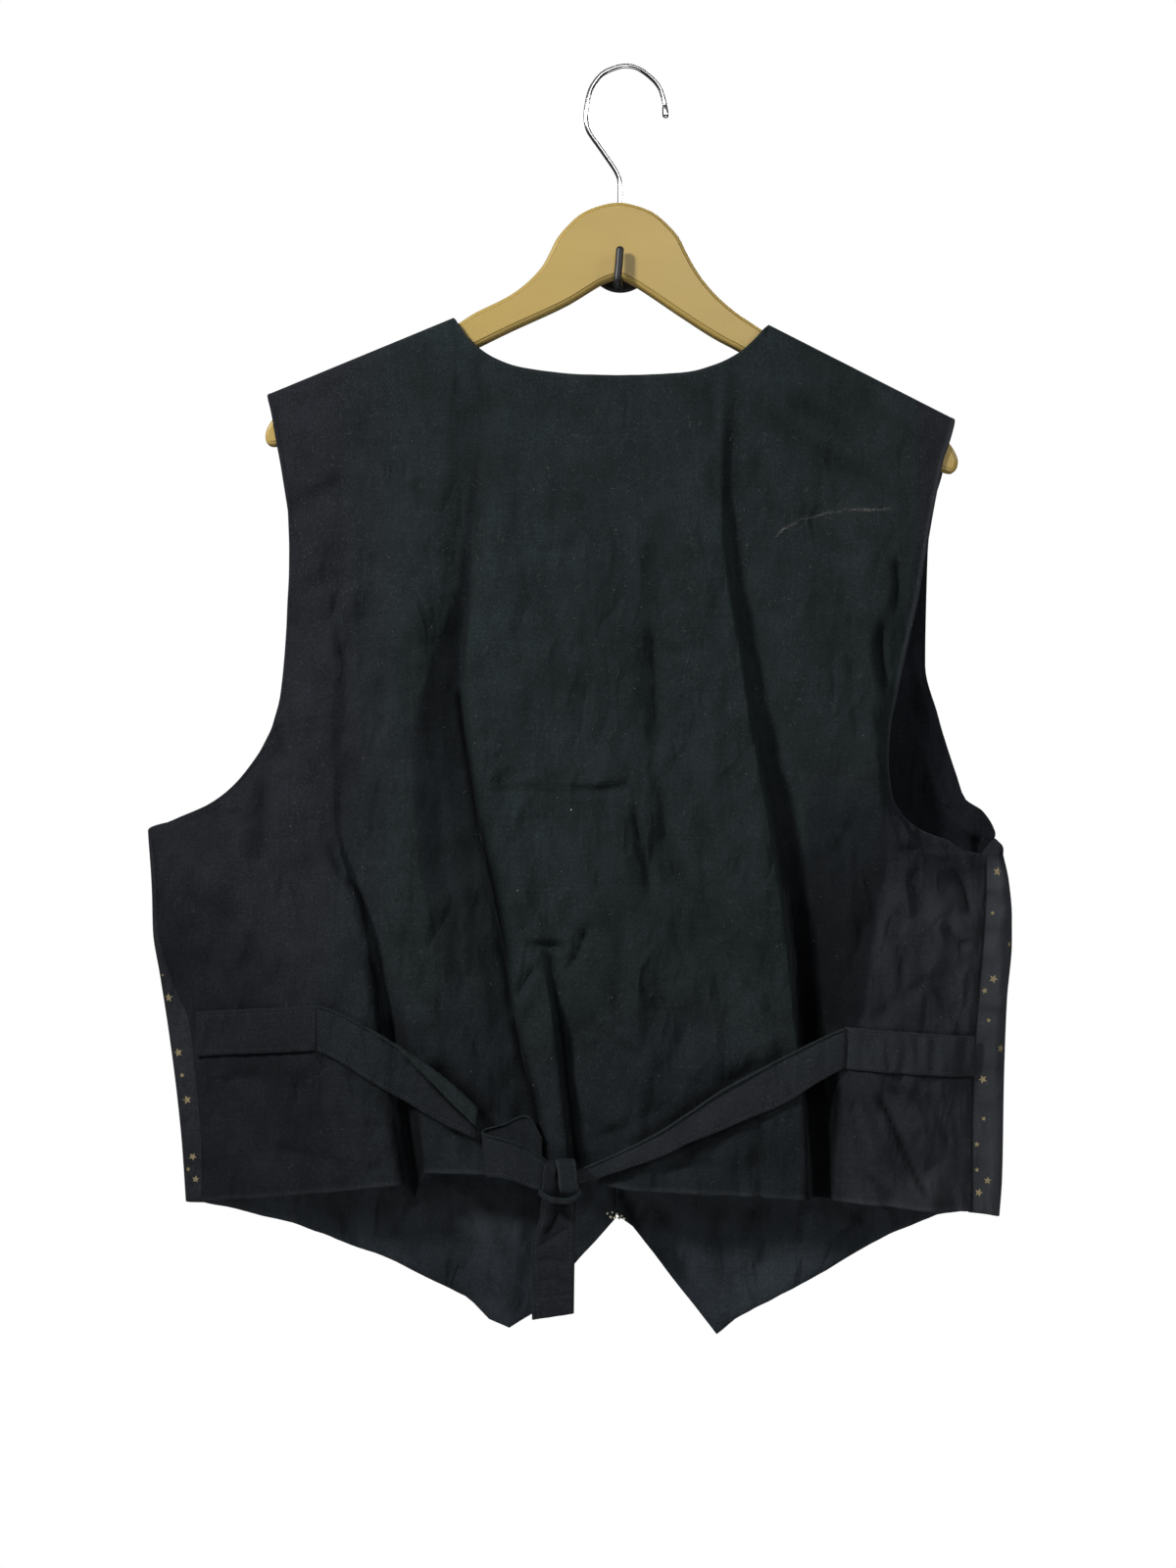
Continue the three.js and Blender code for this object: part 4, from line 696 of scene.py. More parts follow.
# painted shade at the bottoms of the deep folds: how dark, with their widths and places
PAINTED_SHADE_LINES = [
    (0.95, 3.4, 3.8, [(-106, -280), (-101.8, -315), (-96.0, -346)]),
    (0.97, 4.2, 4.6, [(-105, -300), (-98.2, -334), (-91.0, -372), (-82.2, -409), (-75.6, -447), (-72.4, -484), (-66.2, -512)]),
    (0.97, 4.4, 4.6, [(-72.4, -484), (-63.4, -522), (-57.2, -541), (-54, -560), (-50.3, -579), (-48, -600)]),
    (0.88, 1.8, 2.4, [(-50, -449), (-45.2, -456), (-42.7, -472), (-40.8, -490), (-37.7, -509)]),
    (0.97, 3.2, 5.0, [(-41.5, -484), (-37.7, -509), (-35.8, -528), (-33.3, -547), (-31.4, -565), (-29.5, -584), (-27.5, -606)]),
    (0.70, 1.6, 3.0, [(-184, -372), (-181.4, -397), (-167.5, -416), (-163.9, -434), (-161.4, -453)]),
    (0.82, 1.8, 4.0, [(-165, -430), (-161.4, -453), (-156.4, -472), (-155, -490), (-152, -520), (-149.5, -547), (-144.5, -566), (-139, -600), (-136, -640)]),
    (0.45, 1.6, 2.2, [(-105, -420), (-105, -446), (-102, -494)]),
    (0.45, 1.8, 3.0, [(-63, -446), (-50, -448), (-34, -448.5)]),
    (0.45, 1.6, 2.6, [(-21, -434), (-27, -450), (-36, -468)]),
    (0.35, 1.6, 2.4, [(-60, -349), (-30, -349), (2, -347.5)]),
    (0.85, 9.0, 2.5, [(-128, -522), (-112, -533), (-96, -547), (-84, -562)]),
    (0.62, 9.0, 3.0, [(-2, -579), (44, -553), (84, -527), (118, -510)]),
    (0.45, 3.0, 8.0, [(36, -586), (60, -570), (94, -552)]),
    (0.60, 1.5, 2.4, [(87.5, -556), (87.8, -580), (89.5, -650)]),
    (0.55, 3.0, 3.6, [(176, -200), (177, -219), (176, -238)]),
    (0.62, 3.4, 4.6, [(166, -240), (166, -262), (170, -290)]),
    (0.76, 1.8, 2.4, [(159, -538), (169.5, -557), (182, -584), (196, -616)]),
    (0.35, 2.4, 3.4, [(208, -397), (219, -412), (222, -424), (226, -436)]),
    (0.45, 1.6, 3.0, [(-112, -600), (-96, -601), (-72, -597)]),
    (0.40, 3.0, 5.0, [(-232, -340), (-230, -364), (-233, -400)]),
]
# painted shade on the dark flanks of the deep folds: softness left and right, then z, from x, to x, how dark
PAINTED_SHADE_BANDS = [
    ('left_flank', 5.0, 3.0, [(-118, -92, -87, 0.0), (-145, -95, -90, 0.14), (-170, -99, -93.5, 0.24), (-195, -103, -96, 0.32), (-222, -106.5, -95.7, 0.36), (-263, -117.5, -98, 0.36),
                              (-290, -128, -102, 0.34), (-318, -134, -101, 0.31), (-359, -132, -94, 0.27), (-410, -126, -84, 0.20), (-471, -118, -76, 0.14), (-540, -104, -60, 0.10), (-620, -90, -50, 0.0)]),
    ('right_fold', 2.6, 5.0, [(-92, 64, 74, 0.0), (-116, 63.5, 75.4, 0.16), (-163, 62, 75, 0.08), (-184, 69.8, 78.5, 0.18), (-211, 72.3, 81.6, 0.15), (-242, 74.1, 88, 0.05), (-274, 77.3, 93, 0.02),
                              (-310, 84.8, 99.8, 0.08), (-347, 91, 106.6, 0.30), (-398, 99.7, 118, 0.46), (-455, 108.5, 128, 0.80), (-501, 111, 131, 0.90), (-541, 114, 139, 0.88), (-580, 115.5, 136, 0.84), (-640, 117, 134, 0.86)]),
    ('right_inner', 6.0, 5.0, [(-300, 110, 158, 0.0), (-350, 118, 168, 0.20), (-398, 118, 168, 0.42), (-455, 124, 158, 0.60), (-490, 126, 154, 0.64), (-504, 130, 146, 0.5), (-530, 132, 140, 0.0)]),
    ('pleat_left', 2.0, 3.0, [(-470, -150, -140, 0.0), (-520, -147, -134, 0.5), (-560, -143, -128, 0.62), (-640, -138, -122, 0.70)]),
    ('left_side', 12.0, 12.0, [(-400, -320, -250, 0.04), (-440, -320, -246, 0.28), (-500, -320, -210, 0.27), (-640, -320, -150, 0.33)]),
]


def painted_shade_band(x, z, soft_a, soft_b, rows):
    zz, a, b, power = np.array(rows[::-1], float).T
    a, b, power = np.interp(z, zz, a), np.interp(z, zz, b), np.interp(z, zz, power)
    return power * smooth((x - a) / soft_a + 0.5) * smooth((b - x) / soft_b + 0.5)


# star motifs that show at the sides, as (front, x, z, radius)
STARS = [
    ('right', 242.4, -403, 3), ('right', 239.2, -429.7, 1.6), ('right', 250.6, -450, 2.2), ('right', 239.8, -472.1, 3),
    ('right', 234.1, -479.8, 2.2), ('right', 236.7, -498.8, 1.7), ('right', 244.9, -517.2, 3), ('right', 232.9, -536.8, 3),
    ('right', 233.5, -562.2, 1.7), ('right', 229.1, -578.7, 2), ('right', 229.1, -595.2, 1.7), ('right', 236, -602.1, 2.6),
    ('right', 230.3, -609.8, 2.8), ('left', -296.6, -470.2, 1), ('left', -292.8, -484.8, 3), ('left', -286.5, -520.3, 3),
    ('left', -284, -534.9, 1.7), ('left', -280.8, -550.8, 3), ('left', -277, -587.6, 2.6), ('left', -280.1, -595.8, 1.7),
    ('left', -275.1, -602.1, 2.4),
]

for _, deep, wl, wr, points in BACK_CREASES:
    back[..., 1] += crease(bx, bz, points, deep * 1.5, wl, wr)
# over the arm the cloth turns round its upper edge
x_top = back[0:1, :, 0]
over = np.maximum(smooth((-104.2 - x_top) / 3.4), smooth((x_top - 91.4) / 3.2))
turn = RIDGE_BACK - 7.5 * np.sqrt(np.clip(1 - (1 - np.clip(d_top / 6.5, 0, 1)) ** 2, 0, 1))
below = lerp(np.minimum(back[..., 1], -43.8), back[..., 1], smooth((d_top - 10) / 50))
wrapped = np.where(d_top < 6.5, turn, below)
back[..., 1] = lerp(back[..., 1], wrapped, over)
# edges turned in and pressed: a soft roll along the neck, armholes and hem
side_l, side_r = bx[:, :1], bx[:, -1:]
under_l, under_r = smooth((bz + 372) / 14), smooth((bz + 388) / 10)
roll = 0.55 * np.exp(-((bx - side_l - 1.3) / 1.0) ** 2) * under_l + 0.75 * np.exp(-((side_r - bx - 1.3) / 1.0) ** 2) * under_r
roll += 0.5 * np.exp(-((d_top - 1.5) / 1.1) ** 2) * (1 - over)
hem_d = bz - bz[-1:, :]
roll += 0.45 * np.exp(-((hem_d - 1.6) / 1.2) ** 2)
back[..., 1] -= roll
# below the underarms the side edges lie on their seams
for side_table, dist, under in ((BACK_SIDE_LEFT, bx - side_l, -374), (BACK_SIDE_RIGHT, side_r - bx, -389)):
    seam_y = table(side_table, 'z', 'y', bz, False)
    held = lerp(np.minimum(back[..., 1], seam_y + 0.5 * np.maximum(0, dist - 3)), seam_y + 0.8, np.exp(-(dist / 3.0) ** 2))
    back[..., 1] = lerp(back[..., 1], held, smooth((under - bz) / 5))

right_part = np.interp(bz, [-505, -358, -200], [141, 168, 190])
tone = smooth((bx + 205) / 95) * smooth((right_part + 5 - bx) / 10) * (1 - 0.5 * smooth((-430 - bz) / 150))
# paler: a scuff and pale lines along the right armhole edge, the top edge and the hem; painted light over the right
# side part, more to the right, and its painted light patches
wear_and_painted_light = np.clip(0.12 * crease(bx, bz, [(98, -189), (110, -180.5), (122, -175.5), (140, -172.2), (170, -171)], 1.0, 3.0, 3.0, 0.4)
               + 0.32 * np.exp(-((side_r - bx - 0.8) / 1.0) ** 2) * under_r + 0.06 * np.exp(-((d_top - 1.2) / 1.2) ** 2) + 0.16 * np.exp(-((bz - bz[-1:, :] - 1.2) / 1.4) ** 2), 0, 1)
wear_and_painted_light += 0.055 * smooth((bx - right_part + 4) / 10) * smooth((-395 - bz) / 30) + 0.02 * smooth((bx - 110) / 60)
for px, pz, rx, rz, power in PAINTED_LIGHT_PATCHES:
    wear_and_painted_light += power * np.exp(-((bx - px) / rx) ** 2 - ((bz - pz) / rz) ** 2)
# painted shade: darker at the bottoms of the folds and creases, in the lower left part and lower down
painted_shade = 0.10 * smooth((-150 - bx) / 30) * smooth((-500 - bz) / 25) + 0.10 * smooth((-400 - bz) / 120) * (bx < 140)
for _, deep, wl, wr, points in BACK_CREASES:
    painted_shade = np.maximum(painted_shade, crease(bx, bz, points, min(0.09 * deep, 0.32), wl * 0.8, wr * 0.8))
for power, wl, wr, points in PAINTED_SHADE_LINES:
    painted_shade = np.maximum(painted_shade, crease(bx, bz, points, power, wl, wr, 0.16))
for key, soft_a, soft_b, rows in PAINTED_SHADE_BANDS:
    got = painted_shade_band(bx, bz, soft_a, soft_b, rows)
    painted_shade = np.maximum(painted_shade, got)
    # inside the painted shade the cloth's tone also turns bluer
    tone *= 1 - np.clip(got * 1.6, 0, 0.8)
# painted shadow lines along both side edges below the underarms
for edge_dist, under, power in ((side_r - bx, -396, 0.62), (bx - side_l, -384, 0.35)):
    painted_shade = np.maximum(painted_shade, power * np.exp(-((edge_dist - 0.2) / 1.3) ** 2) * (bz < under))
back_skin = sheet_mesh("back_cloth", back, CLOTH, BACK_MAT, attrs=dict(tone=tone, wear_and_painted_light=wear_and_painted_light, painted_shade=np.clip(painted_shade, 0, 0.95), crush=(0.15 + 0.64 * crush) * (1 - 0.7 * painted_shade_band(bx, bz, *PAINTED_SHADE_BANDS[0][1:]) / 0.36)))
PIECES = [back_skin]

back_n = grid_normals(back)
if back_n[..., 1].mean() > 0:
    back_n = -back_n
back_face = back + back_n * CLOTH / 2


def bvh_of(grid):
    R, C = grid.shape[:2]
    idx = np.arange(R * C).reshape(R, C)
    f = np.stack([idx[:-1, :-1], idx[:-1, 1:], idx[1:, 1:], idx[1:, :-1]], -1).reshape(-1, 4)
    return BVHTree.FromPolygons(grid.reshape(-1, 3).tolist(), f.tolist())


def hit(bvh, x, z, toward=1.0):
    """Where a line along +Y (toward 1) or -Y (toward -1) meets a skin, with the skin's direction there."""
    loc, nrm, _, _ = bvh.ray_cast(Vector((x, -300.0 * toward, z)), Vector((0, toward, 0)))
    if loc is None:
        return None
    n = np.array(nrm)
    return np.array(loc), n if n[1] * toward < 0 else -n


BACK_BVH = bvh_of(back_face)


def face_y(x, z):
    h = hit(BACK_BVH, x, z)
    return 0.0 if h is None else h[0][1]


def bridge(x, z, reach):
    return min(face_y(x + k * reach / 2, z + m * reach / 2) for k in (-2, -1, 0, 1, 2) for m in (-1, 0, 1))


# ------------------------------------------------------------------ fronts
LAP_X, LAP_HALF, FRONT_Y, RIDGE_FRONT = -14.0, 2.2, -14.0, -35.85
SEAM, LINING = 0.5, 0.9


def zx(*pairs):
    return [dict(z=z, x=x) for z, x in pairs]


def xz(*pairs):
    return [dict(x=x, z=z) for x, z in pairs]


FRONT = {
    'left': dict(
        sign=-1, turn=11.0, neck=(-107.7, -46.8), tip=(-227.4, -96.2), under=-377.4, hem_side=-616.3, seam_y=-33.0, edge_hem=-630.7, point_top=-158.0, point=-72.7,
        edge=zx((-46.8, -107.7), (-100, -84), (-160, -58.5), (-220, -35), (-285, -7), (-300, -3.5), (-630.7, -3.5)),
        armhole=zx((-96.2, -227.4), (-140, -211), (-200, -201), (-260, -202), (-310, -213), (-348, -240), (-366, -270), (-375.2, -291), (-377.4, -305.6)),
        seam=zx((-377.3, -304.1), (-416.2, -300.3), (-440.9, -299.4), (-470.1, -291.1), (-498.5, -279.1), (-525.8, -276), (-584, -270.9), (-616.3, -270.9)),
        side=zx((-377.5, -306.2), (-417, -303.8), (-441.4, -303.2), (-470.6, -298.7), (-507.1, -293.1), (-546, -288), (-580.4, -284.5), (-616.7, -282)),
        hem=xz((-282, -617.3), (-245.9, -625.6), (-213.8, -633.9), (-149.7, -657.6), (-99.7, -682), (-85.6, -696.1), (-72.7, -701.3), (-56.7, -691), (-31, -660.8), (-3.5, -630.7))),
    'right': dict(
        sign=1, turn=15.0, neck=(94.7, -51.3), tip=(214.3, -112.1), under=-392.6, hem_side=-621.6, seam_y=-38.0, edge_hem=-602.6, point_top=145.0, point=62.8,
        edge=zx((-51.3, 94.7), (-100, 68), (-160, 38), (-220, 11), (-285, -20.5), (-300, -25.3), (-602.6, -25.3)),
        armhole=zx((-112.1, 214.3), (-143.6, 208.5), (-170.5, 201.4), (-199.9, 198.9), (-268.5, 198.2), (-300.5, 206.6), (-342.1, 220), (-355.6, 224.5), (-363.9, 236), (-376, 243.1), (-387.3, 245.7)),
        seam=zx((-392.6, 234.4), (-428.6, 234), (-479, 230.3), (-510.6, 227.7), (-567.4, 225.8), (-621.6, 225.8)),
        side=zx((-387.3, 245.7), (-410.2, 250.8), (-432.5, 252.7), (-448.4, 252.7), (-486.5, 249.5), (-537.4, 247.6), (-601, 246.4), (-627.1, 244.5)),
        hem=xz((-25.3, -602.6), (-2.1, -629.6), (7.5, -636.1), (20.4, -652.1), (42.9, -681.1), (62.8, -706.2), (76.4, -695.2), (87.9, -688.8), (133, -665), (174.8, -641.2), (206.9, -628.3), (226.2, -625.8), (244.5, -626.1))),
}
# how a front turns round the side: distance in, depth, the line it follows
SIDE_TURN = [(2.0, 1.7, 'seam'), (0.5, 1.9, 'mid'), (0.0, 0.3, 'side'), (3.5, 0.68, 'side'), (13.0, 0.96, 'side')]
# creases of the far side, which the photo doesn't show: trough depth, widths, places
FRONT_CREASES = {
    'left': [
        (2.2, 8, 13, [(-204, -255), (-172, -272), (-128, -280)]), (2.8, 9, 15, [(-206, -330), (-168, -372), (-132, -440)]),
        (1.6, 6, 10, [(-250, -372), (-214, -392), (-176, -432)]), (3.0, 14, 18, [(-150, -230), (-160, -380), (-172, -560)]),
        (2.4, 10, 14, [(-96, -330), (-92, -470), (-80, -650)]), (1.4, 4, 7, [(-22, -384), (-52, -394), (-84, -412)]),
        (1.6, 4, 8, [(-22, -455), (-48, -452), (-76, -440)]), (1.3, 4, 7, [(-22, -590), (-50, -604), (-70, -630)]),
        (1.5, 7, 11, [(-120, -90), (-112, -150), (-96, -215)]), (1.2, 5, 9, [(-262, -520), (-226, -536), (-190, -540)])],
    'right': [
        (2.4, 9, 14, [(198, -262), (160, -280), (118, -284)]), (2.5, 9, 14, [(206, -345), (170, -392), (150, -470)]),
        (1.5, 6, 10, [(232, -392), (202, -410), (176, -450)]), (3.2, 13, 18, [(128, -220), (122, -380), (128, -600)]),
        (2.2, 9, 13, [(62, -300), (58, -450), (62, -660)]), (1.5, 4, 7, [(-8, -382), (24, -396), (52, -420)]),
        (1.3, 4, 8, [(-8, -452), (22, -448), (48, -432)]), (1.4, 4, 7, [(-8, -588), (22, -600), (44, -628)]),
        (1.4, 7, 10, [(108, -100), (96, -160), (74, -225)]), (1.2, 5, 9, [(214, -540), (180, -556), (150, -556)])],
}


def front_depth(F, x, z, d):
    lap = LAP_HALF * F['sign'] * (1 - smooth((np.abs(x - LAP_X) - 15) / 80))
    flat = FRONT_Y + lap + 1.6 * np.sin((x + 40) / 31) * smooth((d - 250) / 200)
    y = lerp(-27.2, flat, smooth((d - 20) / 230))
    near = RIDGE_FRONT + (-27.3 - RIDGE_FRONT) * np.sqrt(np.clip(1 - (1 - np.clip(d / 7, 0, 1)) ** 2, 0, 1))
    return np.where(d < 7, near, y)


def front_grid(key, F):
    (nx, nz), (tx, tz), sg = F['neck'], F['tip'], F['sign']
    side = ladder([(tz,), (tz - 2, 1, 1), (tz - 7, 1, 1), (F['under'] + 36, 7, 1), (F['under'], 4, 1.25), (F['hem_side'], 7, 1)])
    edge = ladder([(nz,), (nz - 2, 1, 1), (nz - 7, 1, 1), (-285, 7, 1), (-300, 1, 1), (F['edge_hem'], 10, 1)])
    jj = np.concatenate([np.linspace(0, 2, 11)[:-1], np.linspace(2, 20, 18 * 7 + 1)])
    side, edge = np.interp(jj, np.arange(21), side), np.interp(jj, np.arange(21), edge)
    fs, fe = (tz - side) / (tz - side[-1]), (nz - edge) / (nz - edge[-1])
    hem_z = lambda x: table(F['hem'], 'x', 'z', x, False)
    far = F['side'][-1]['x']
    line = lambda x: lerp(tz, nz, (x - tx) / (nx - tx))
    cols = []
    for i, (inn, deep, frm) in enumerate(SIDE_TURN):
        hem = lerp(F['hem_side'], float(hem_z(far)), i * 0.5) - (0.6 if i == 0 else 0) if i < 2 else float(hem_z(far - sg * inn))
        f = lerp(fs, fe, (i / 12) ** 2)
        top = line(tx - sg * i * 5.5)
        z = lerp(top, hem, f)
        zs = lerp(tz, F['hem_side'], fs)
        ax = table(F['armhole'], 'z', 'x', zs if i == 0 else np.maximum(z, F['under'])) - sg * i * 5.5
        near = smooth((zs - (F['under'] + 60)) / -60)
        ay = front_depth(F, ax, z, top - z) - near * 9 * (1 - i / 4)
        sx, wx = table(F['seam'], 'z', 'x', z), table(F['side'], 'z', 'x', z)
        bx_ = sx - sg * inn if frm == 'seam' else lerp(sx, wx, 0.6) if frm == 'mid' else wx - sg * inn
        flat_y = front_depth(F, wx - sg * 13, z, np.full_like(z, 400.0))
        by_ = np.full_like(z, F['seam_y'] + deep) if frm in ('seam', 'mid') else lerp(F['seam_y'] + 2, flat_y, deep)
        w = smooth((zs - (F['under'] + F['turn'])) / -F['turn'])
        d = top - z
        y = np.where(d < 7.0, front_depth(F, ax, z, d), lerp(ay, by_, w))
        keep = max(sg, 0) * (0.0, 4.5, 6.0, 2.0, 0.0)[i] * 4 * w * (1 - w)   # the turn keeps its outline at the underarm
        cols.append(np.stack([lerp(ax, bx_, w) + keep, y, z], -1))
    flat_x = cols[-1][:, 0]
    for k in range(1, 9):
        f = lerp(fs, fe, ((4 + k) / 12) ** 2)
        z_edge = lerp(nz, F['edge_hem'], fe)
        ex = table(F['edge'], 'z', 'x', z_edge)
        px = lerp(F['point_top'], F['point'], smooth((fs - 0.05) / 0.7) * 0.6 + 0.4 * f)
        x = lerp(flat_x, px, k / 5) if k <= 5 else lerp(px, ex, (k - 5) / 3)
        top_x = lerp(tx - sg * 22, F['point_top'], k / 5) if k <= 5 else lerp(F['point_top'], nx, (k - 5) / 3)
        top = line(top_x)
        z = z_edge if k == 8 else lerp(top, hem_z(x), f)
        d = np.maximum(0.0, top - z)
        cols.append(np.stack([x, front_depth(F, x, z, d), z], -1))
    g = np.stack(cols, 0)
    u = np.concatenate([np.linspace(0, 4, 4 * 9 + 1)[:-1], np.linspace(4, 12, 8 * 8 + 1)])
    g = pchip(np.arange(13), g, u).transpose(1, 0, 2)
    # the hem follows its own line at every column
    flat = u >= 2
    dz = np.where(flat, hem_z(g[-1, :, 0]) - g[-1, :, 2], 0.0)
    dz[-1] = 0.0
    g[..., 2] += dz[None, :] * (fs[:, None] ** 4)
    # the front that lies on top stays flat in the lap, so that it clears the one below
    flat_lap = smooth((g[..., 0] - LAP_X - 14) / 22) if key == 'right' else 1.0
    for deep, wl, wr, points in FRONT_CREASES[key]:
        g[..., 1] -= crease(g[..., 0], g[..., 2], points, deep, wl, wr) * flat_lap
    seed = 31 if key == 'left' else 47
    calm = smooth((g[0:1, :, 2] - g[..., 2] - 30) / 120) * smooth((u[None, :] - 3.0) / 1.6)
    g[..., 1] += calm * flat_lap * (waves(g[..., 0], g[..., 2], 90, seed) * 0.8 + waves(g[..., 0], g[..., 2], 34, seed + 1) * 0.25)
    return g


# painted shade on the linings: inside the fronts up high, low on the left, in the notch where the fronts part, and
# along the lining creases
def lining_painted_shade(key, x, z):
    inside = (0.62 if key == 'right' else 0.0) * smooth((z + 590) / 60) + (0.5 if key == 'left' else 0.0) * smooth((z + 340) / 40)
    shade = 0.25 * np.exp(-((x + 115) / 24) ** 2) * smooth((-600 - z) / 20)
    notch = crease(x, z, [(-1, -590), (0, -612), (5, -626), (16, -644)] if key == 'right' else [(-5, -590), (-3, -610), (-3, -628)], 0.85, 4.0, 4.0, 0.2)
    for _, deep, wl, wr, points in LOW_CREASES[key]:
        shade = np.maximum(shade, crease(x, z, points, 0.20 * deep, wl * 0.7, wr * 0.7))
    return np.clip(np.maximum(np.maximum(inside, shade), notch), 0, 0.9)


# painted shade of puckers across the right side strip: how dark, half heights, ends
STRIP_PUCKERS = [
    (0.34, 2.5, 5.0, [(228, -414), (252, -419)]), (0.30, 3.0, 3.5, [(228, -441), (253, -437)]), (0.26, 2.0, 5.0, [(230, -458), (244, -461)]),
    (0.34, 3.0, 4.0, [(226, -489), (250, -493)]), (0.30, 2.5, 3.0, [(226, -509), (242, -507)]), (0.30, 3.0, 5.0, [(224, -526), (250, -530)]),
    (0.22, 2.5, 4.0, [(224, -555), (248, -551)]), (0.28, 3.0, 4.0, [(224, -590), (240, -593)]),
]


def strip_painted_shade(key, x, z):
    shade = np.zeros_like(x)
    if key == 'right':
        for power, wl, wr, points in STRIP_PUCKERS:
            shade = np.maximum(shade, crease(x, z, points, power, wl, wr))
    return shade


LOW_CREASES = {'left': LINING_LEFT_CREASES, 'right': LINING_RIGHT_CREASES}
FRONT_GRID, FRONT_OUT, LINING_GRID, SKINS = {}, {}, {}, {}
for key, F in FRONT.items():
    g = front_grid(key, F)
    n = grid_normals(g)
    if n[80, 60, 1] < 0:
        n = -n
    soft = blur(n, 4)
    soft /= np.linalg.norm(soft, axis=2, keepdims=True)
    FRONT_GRID[key], FRONT_OUT[key] = g, g + n * 0.6
    li = g - soft * (0.6 + SEAM + LINING / 2)
    for _, deep, wl, wr, points in LOW_CREASES[key]:
        li[..., 1] -= 2.0 * crease(li[..., 0], li[..., 2], points, deep, wl, wr)
    low_part = smooth((-585 - li[..., 2]) / 30) * smooth((g[..., 1] + 26) / 8)
    li[..., 1] -= low_part * (0.9 + 0.6 * waves(li[..., 0], li[..., 2], 30, 61) + 0.25 * waves(li[..., 0], li[..., 2], 13, 62))
    LINING_GRID[key] = li
    # painted light on the side strips, most on the right and beside its seam, where they turn from the lamps and lie in
    # the back's shadow; painted shade of the strip's puckers
    strip = np.exp(-((g[..., 0] - np.interp(g[..., 2], [-700, -300], [240, 250])) / 14) ** 2) * smooth((-392 - g[..., 2]) / 10)
    SKINS['front_' + key] = sheet_mesh("front_cloth_" + key, g, 1.2, FRONT_MAT, attrs=dict(wear_and_painted_light=(0.42 if key == 'right' else 0.16) * strip + (0.10 if key == 'right' else 0.0) * np.exp(-((g[..., 0] - np.interp(g[..., 2], [-621.6, -567.4, -510.6, -479, -428.6, -392.6], [225.8, 225.8, 227.7, 230.3, 234, 234.4]) - 3) / 4.5) ** 2) * smooth((-394 - g[..., 2]) / 8) * (g[..., 1] < -30), painted_shade=strip_painted_shade(key, g[..., 0], g[..., 2])))
    # painted light on the linings just under the back's hem, where its shadow falls, and painted shade as set above
    SKINS['lining_' + key] = sheet_mesh("lining_cloth_" + key, li, LINING, LINING_MAT, attrs=dict(tone=smooth((-li[..., 2] - 330) / 200) * 0.5, painted_shade=lining_painted_shade(key, li[..., 0], li[..., 2]),
        wear_and_painted_light=0.20 * smooth((li[..., 2] + 655) / 30) * smooth((-604 - li[..., 2]) / 12), crush=np.full(li.shape[:2], 1.0)))
    PIECES += [SKINS['front_' + key], SKINS['lining_' + key]]

# ------------------------------------------------------------------ straps
STRAP = 1.3


class Bits:
    """Many small closed shapes that share one mesh."""

    def __init__(self):
        self.v, self.f, self.n = [], [], 0

    def add(self, verts, tris):
        self.v.append(np.asarray(verts, float))
        self.f.append(np.asarray(tris, int) + self.n)
        self.n += len(verts)

    def mesh(self, name, material):
        return make_mesh(name, np.concatenate(self.v), np.concatenate(self.f), material)


OCTA = [(0, 2, 4), (0, 4, 3), (0, 3, 5), (0, 5, 2), (1, 4, 2), (1, 3, 4), (1, 5, 3), (1, 2, 5)]


def stitches(bits, points, normals, pitch=2.9, length=2.1, radius=0.2, height=0.16):
    s = np.concatenate([[0], np.cumsum(np.linalg.norm(np.diff(points, axis=0), axis=1))])
    get = lambda a, q: np.array([np.interp(q, s, a[:, k]) for k in range(3)])
    for k in range(int((s[-1] - length) / pitch)):
        q = 0.4 + k * pitch
        a, b, n = get(points, q), get(points, q + length), get(normals, q + length / 2)
        c = (a + b) / 2
        side = np.cross(b - a, n)
        side /= max(np.linalg.norm(side), 1e-9)
        bits.add([a, b, c + side * radius, c - side * radius, c + n * height, c - n * radius], OCTA)


SEWING = Bits()


def sewn_edges(grid, thick, cols=None, rows=None):
    n = grid_normals(grid)
    mid = n[n.shape[0] // 2, n.shape[1] // 2]
    if mid[1] > 0:
        n = -n
    for c in cols or []:
        stitches(SEWING, grid[:, c] + n[:, c] * (thick / 2 + 0.02), n[:, c])
    for r in rows or []:
        stitches(SEWING, grid[r] + n[r] * (thick / 2 + 0.02), n[r])


